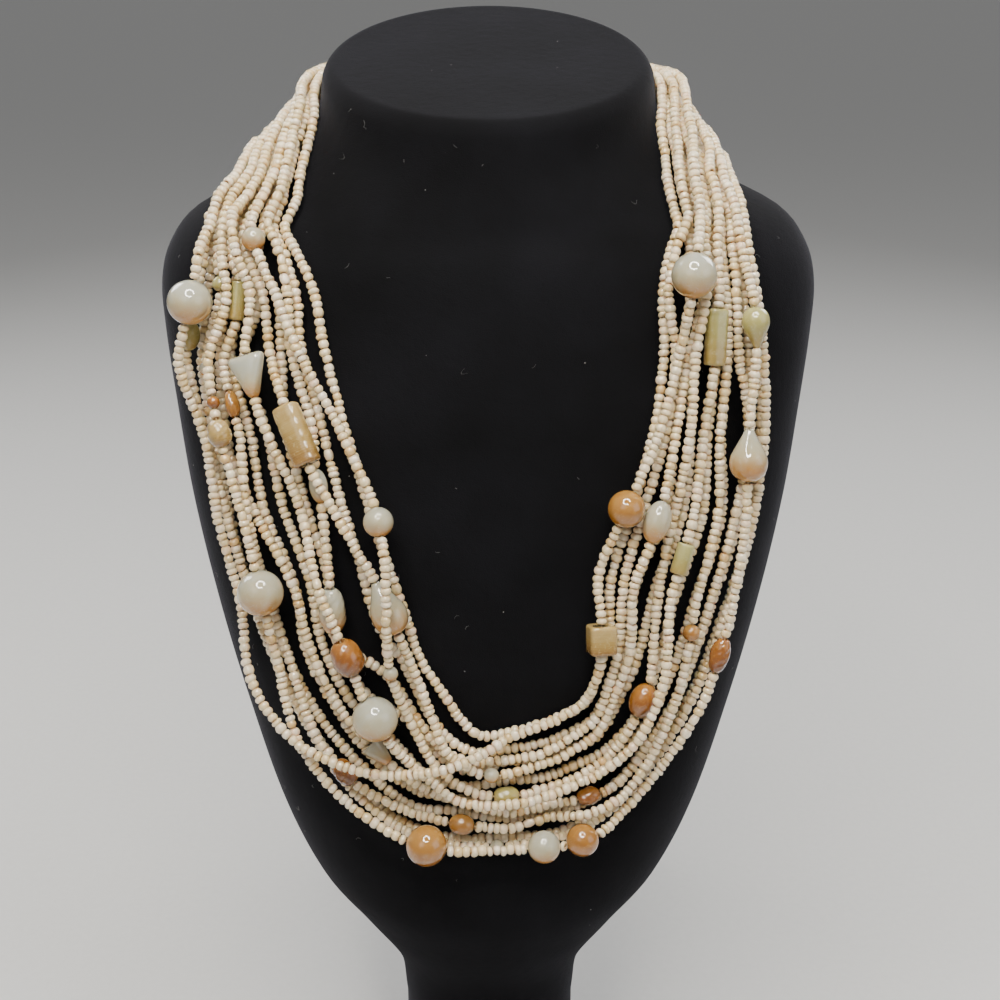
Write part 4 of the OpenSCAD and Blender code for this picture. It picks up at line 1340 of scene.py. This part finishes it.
@dataclass
class NeckBust:
    """The velvet-covered bust and its foot."""

    surface: BustSurface
    bottom: float = 18.0
    lip: float = 98.8
    lip_shrink: float = 0.93
    foot_thickness: float = 10.0
    foot_half_width: float = 75.0
    foot_half_depth: float = 60.0
    foot_edge: float = 3.0
    stem_seat: float = 4.0
    recess_gap: float = 0.36
    gap: float = 0.3
    around: int = 128

    def _ring(self, level: float, turn: np.ndarray) -> np.ndarray:
        """Give a ring, drawn in towards its middle past the lip."""
        share = min(max((level - self.lip) / (100 - self.lip), 0), 1)
        shrink = 1 - (1 - self.lip_shrink) * (1 - math.sqrt(max(1 - share ** 2, 0)))
        ring = self.surface.point(turn, np.full(len(turn), level))
        middle = ring.mean(axis=0)
        return middle + shrink * (ring - middle)

    def build(self, velvet: bpy.types.Material) -> None:
        """Make the bust and the foot.

        Args:
            velvet: the material of both.
        """
        turn = np.arange(self.around) * 360 / self.around
        levels = np.concatenate([
            np.linspace(self.bottom, self.lip, 150),
            self.lip + (100 - self.lip) * np.sin(
                np.linspace(0, math.pi / 2, 9))[1:]])
        rings = [self._ring(level, turn) for level in levels]
        stem = rings[0].copy()
        stem[:, 2] = self.foot_thickness - self.stem_seat + self.gap
        body = [*self._caps(stem)[::-1], stem, *rings, *self._caps(rings[-1])]
        self._turned("velvet_bust", body, velvet, "velvet", "bust")
        self._foot(velvet, rings[0])

    def _turned(self, name: str, rings: list[np.ndarray],
                velvet: bpy.types.Material, slot: str, stands_for: str) -> None:
        """Join rings into a closed piece and dress it.

        The points that meet in the middle of a cap become one.
        """
        points = np.array(rings).reshape(-1, 3) * MM
        piece = build_mesh(name, points, grid_faces(len(rings), self.around))
        work = bmesh.new()
        work.from_mesh(piece.data)
        bmesh.ops.remove_doubles(work, verts=work.verts, dist=1e-7)
        bmesh.ops.recalc_face_normals(work, faces=work.faces)
        work.to_mesh(piece.data)
        work.free()
        dress(piece, velvet, slot, stands_for)
        LOG.info("%s: %d faces", name, len(piece.data.polygons))

    def _caps(self, ring: np.ndarray) -> list[np.ndarray]:
        """Close a ring with smaller rings down to its middle."""
        middle = ring.mean(axis=0)
        return [middle + s * (ring - middle) for s in (0.97, 0.8, 0.5, 0.2, 0.0)]

    def _foot(self, velvet: bpy.types.Material, stem: np.ndarray) -> None:
        """Make the oval board with rounded edges and its recess."""
        turn = np.radians(np.arange(self.around) * 360 / self.around)
        # Round the same way as the stem's ring, from the front
        oval = np.stack([np.sin(turn), -np.cos(turn)], -1) * [
            self.foot_half_width, self.foot_half_depth]
        bend = np.linspace(0, math.pi / 2, 6)
        rows = [(oval * 0.0, 0.0), (oval * 0.5, 0.0)]
        for sign, middle, turns in (
                (-1, self.foot_edge, bend[::-1]),
                (1, self.foot_thickness - self.foot_edge, bend)):
            for a in turns:
                inset = self.foot_edge * (1 - math.cos(a))
                rows.append((oval * (1 - inset / self.foot_half_depth),
                             middle + sign * self.foot_edge * math.sin(a)))
        # The recess clears the stem by its gap on the near side
        recess = stem[:, :2] * (1 + self.recess_gap / np.linalg.norm(stem[:, :2], axis=1).min())
        top = self.foot_thickness
        floor = top - self.stem_seat
        rows += [(recess * 1.02, top), (recess, top - 0.5), (recess, floor), (recess * 0.5, floor),
                 (recess * 0.0, floor)]
        rings = [np.column_stack([shape, np.full(self.around, z)]) for shape, z in rows]
        self._turned("velvet_foot", rings, velvet, "foot", "foot")


@dataclass
class LintFibres:
    """Fine curled fibres that lie on the velvet, in one piece.

    A fibre is a short arc: its middle goes along a direction in the surface and bends to one side.
    """

    surface: BustSurface
    seed: int = 77
    count: int = 70
    rings: int = 7
    sides: int = 3
    turns: tuple[float, float] = (-75.0, 75.0)
    levels: tuple[float, float] = (35.0, 99.0)
    lengths: tuple[float, float] = (0.4, 1.9)
    radii: tuple[float, float] = (0.025, 0.05)
    curl: float = 0.7
    lift: float = 0.25

    def build(self) -> None:
        """Scatter the fibres and dress them."""
        rng = np.random.default_rng(self.seed)
        n, m, sides = self.count, self.rings, self.sides
        turn = rng.uniform(*self.turns, n)
        level = rng.uniform(*self.levels, n)
        foot = self.surface.point(turn, level)
        out = self.surface.outward(turn, level)
        way = unit(np.cross(out, rng.normal(0, 1, (n, 3))))
        bend = np.cross(out, way)
        length = rng.uniform(*self.lengths, n)[:, None, None]
        curl = rng.normal(0, self.curl, n)[:, None, None]
        t = np.linspace(-0.5, 0.5, m)[None, :, None]
        line = (foot[:, None] + out[:, None] * self.lift + way[:, None] * t * length
                + bend[:, None] * curl * length * (t ** 2 * 2))
        radius = rng.uniform(*self.radii, n)[:, None, None, None]
        verts = (line[:, :, None, :] + radius * hoops(out, bend, sides)[:, None])
        last = (m - 1) * sides
        one = np.concatenate([grid_faces(m, sides), [[0, 2, 1, -1], [last, last + 1, last + 2, -1]]])
        shift = (np.arange(n) * m * sides)[:, None, None]
        many = np.where(one[None] < 0, -1, one[None] + shift)
        piece = build_mesh("lint", verts.reshape(-1, 3) * MM, many.reshape(-1, 4))
        dress(piece, Lint().build(), "velvet")
        LOG.info("lint: %d fibres", n)


# The studio

@dataclass(frozen=True)
class Lamp:
    """A soft area lamp, with its place and width in metres."""

    name: str
    at: tuple[float, float, float]
    width: float
    watts: float
    colour: str = "#FFFFFF"
    shape: str = "SQUARE"

    def hang(self, target: tuple[float, float, float]) -> None:
        """Hang the lamp and point it at the target."""
        data = bpy.data.lights.new(self.name, "AREA")
        data.shape, data.size = self.shape, self.width
        data.energy = self.watts
        data.color = linear(self.colour)[:3]
        lamp = bpy.data.objects.new(self.name, data)
        lamp.location = self.at
        lamp.rotation_euler = (Vector(target) - Vector(self.at)).to_track_quat("-Z", "Y").to_euler()
        bpy.context.scene.collection.objects.link(lamp)


@dataclass(frozen=True)
class RingLamp(Lamp):
    """A round lamp whose middle is covered, over the camera.

    The cover is a disc with an arm to the right, so that polished beads show the lamp as a small C.
    """

    band: float = 0.042
    arm_turn: float = 335.0
    arm_width: float = 50.0
    corners: int = 48
    cover_gap: float = 0.006

    def cover(self, target: tuple[float, float, float], material: bpy.types.Material) -> None:
        """Hang the cover in front of the lamp.

        Args:
            target: the point that the lamp faces.
            material: the cover's cloth.
        """
        way = unit(np.array(target) - np.array(self.at))
        side = unit(np.cross(way, [0.0, 0.0, 1.0]))
        over = np.cross(side, way)
        turn = np.arange(self.corners) * 360 / self.corners
        reach = np.where(
            np.abs(turn - self.arm_turn) < self.arm_width / 2,
            self.width / 2 * 1.1, self.width / 2 - self.band)
        middle = np.array(self.at) + self.cover_gap * way
        rim = middle + reach[:, None] * hoops(side[None], over[None], self.corners)[0]
        k = np.arange(self.corners)
        faces = np.stack([k, (k + 1) % self.corners, np.full_like(k, self.corners),
                          np.full_like(k, -1)], -1)
        disc = build_mesh(f"{self.name}_cover", np.concatenate([rim, [middle]]), faces)
        disc.data.materials.append(material)


@dataclass
class Studio:
    """The camera, the floor and the lights."""

    velvet: bpy.types.Material
    camera_mm: tuple[float, float, float] = (3.4, -393.9, 378.2)
    pitch_down: float = 21.0
    focal_px: float = 1500.0
    photo_px: float = 1000.0
    floor_half: float = 15.0
    chest: tuple[float, float, float] = (0.0, -0.03, 0.24)
    ring_lamp: RingLamp = RingLamp("ring_lamp", (0.0, -0.235, 0.72), 0.38, 20.0, "#FFFBF4", "DISK")
    lamps: tuple[Lamp, ...] = (
        Lamp("soft_box", (-0.5, -0.9, 0.9), 0.6, 1.6, "#FFF8F0"),
        Lamp("side_fill", (0.95, -0.5, 0.6), 0.8, 2.5, "#F4F7FF"),
        Lamp("rim_left", (-0.7, 0.6, 0.8), 0.5, 6.0),
        Lamp("rim_right", (0.7, 0.6, 0.8), 0.5, 6.0))
    sky: str = "#E9EAEC"
    sky_strength: float = 0.33

    def build(self) -> None:
        """Set the camera, the floor and the lights."""
        self._camera()
        self._floor()
        self.ring_lamp.hang(self.chest)
        self.ring_lamp.cover(self.chest, self.velvet)
        for lamp in self.lamps:
            lamp.hang(self.chest)
        self._sky()

    def _camera(self) -> None:
        """Look down on the chest from straight in front."""
        data = bpy.data.cameras.new("photo_camera")
        data.sensor_fit, data.sensor_width = "HORIZONTAL", 36.0
        data.lens = data.sensor_width * self.focal_px / self.photo_px
        data.clip_start, data.clip_end = 0.01, 60.0
        camera = bpy.data.objects.new("photo_camera", data)
        camera.location = [v * MM for v in self.camera_mm]
        camera.rotation_euler = (math.radians(90 - self.pitch_down), 0, 0)
        bpy.context.scene.collection.objects.link(camera)
        bpy.context.scene.camera = camera

    def _floor(self) -> None:
        """Lay a wide pale board under everything."""
        corners = np.array([[-1, -1, 0], [1, -1, 0], [1, 1, 0], [-1, 1, 0]]) * self.floor_half
        floor = build_mesh("studio_floor", corners, np.array([[0, 1, 2, 3]]))
        floor.data.materials.append(PaleBoard().build())

    def _sky(self) -> None:
        """Fill the shadows with a pale sky."""
        world = bpy.data.worlds.new("pale_sky")
        world.use_nodes = True
        back = world.node_tree.nodes["Background"]
        back.inputs["Color"].default_value = linear(self.sky)
        back.inputs["Strength"].default_value = self.sky_strength
        bpy.context.scene.world = world


def main() -> None:
    """Build the bust, the necklace and the studio, and note the sizes."""
    logging.basicConfig(level=logging.INFO, format="%(message)s")
    surface = BustSurface()
    pile = Pile(Band(surface))
    velvet = BlackVelvet().build()
    NeckBust(surface).build(velvet)
    LintFibres(surface).build()
    Necklace(pile).build()
    Studio(velvet).build()


if __name__ == "__main__":
    main()
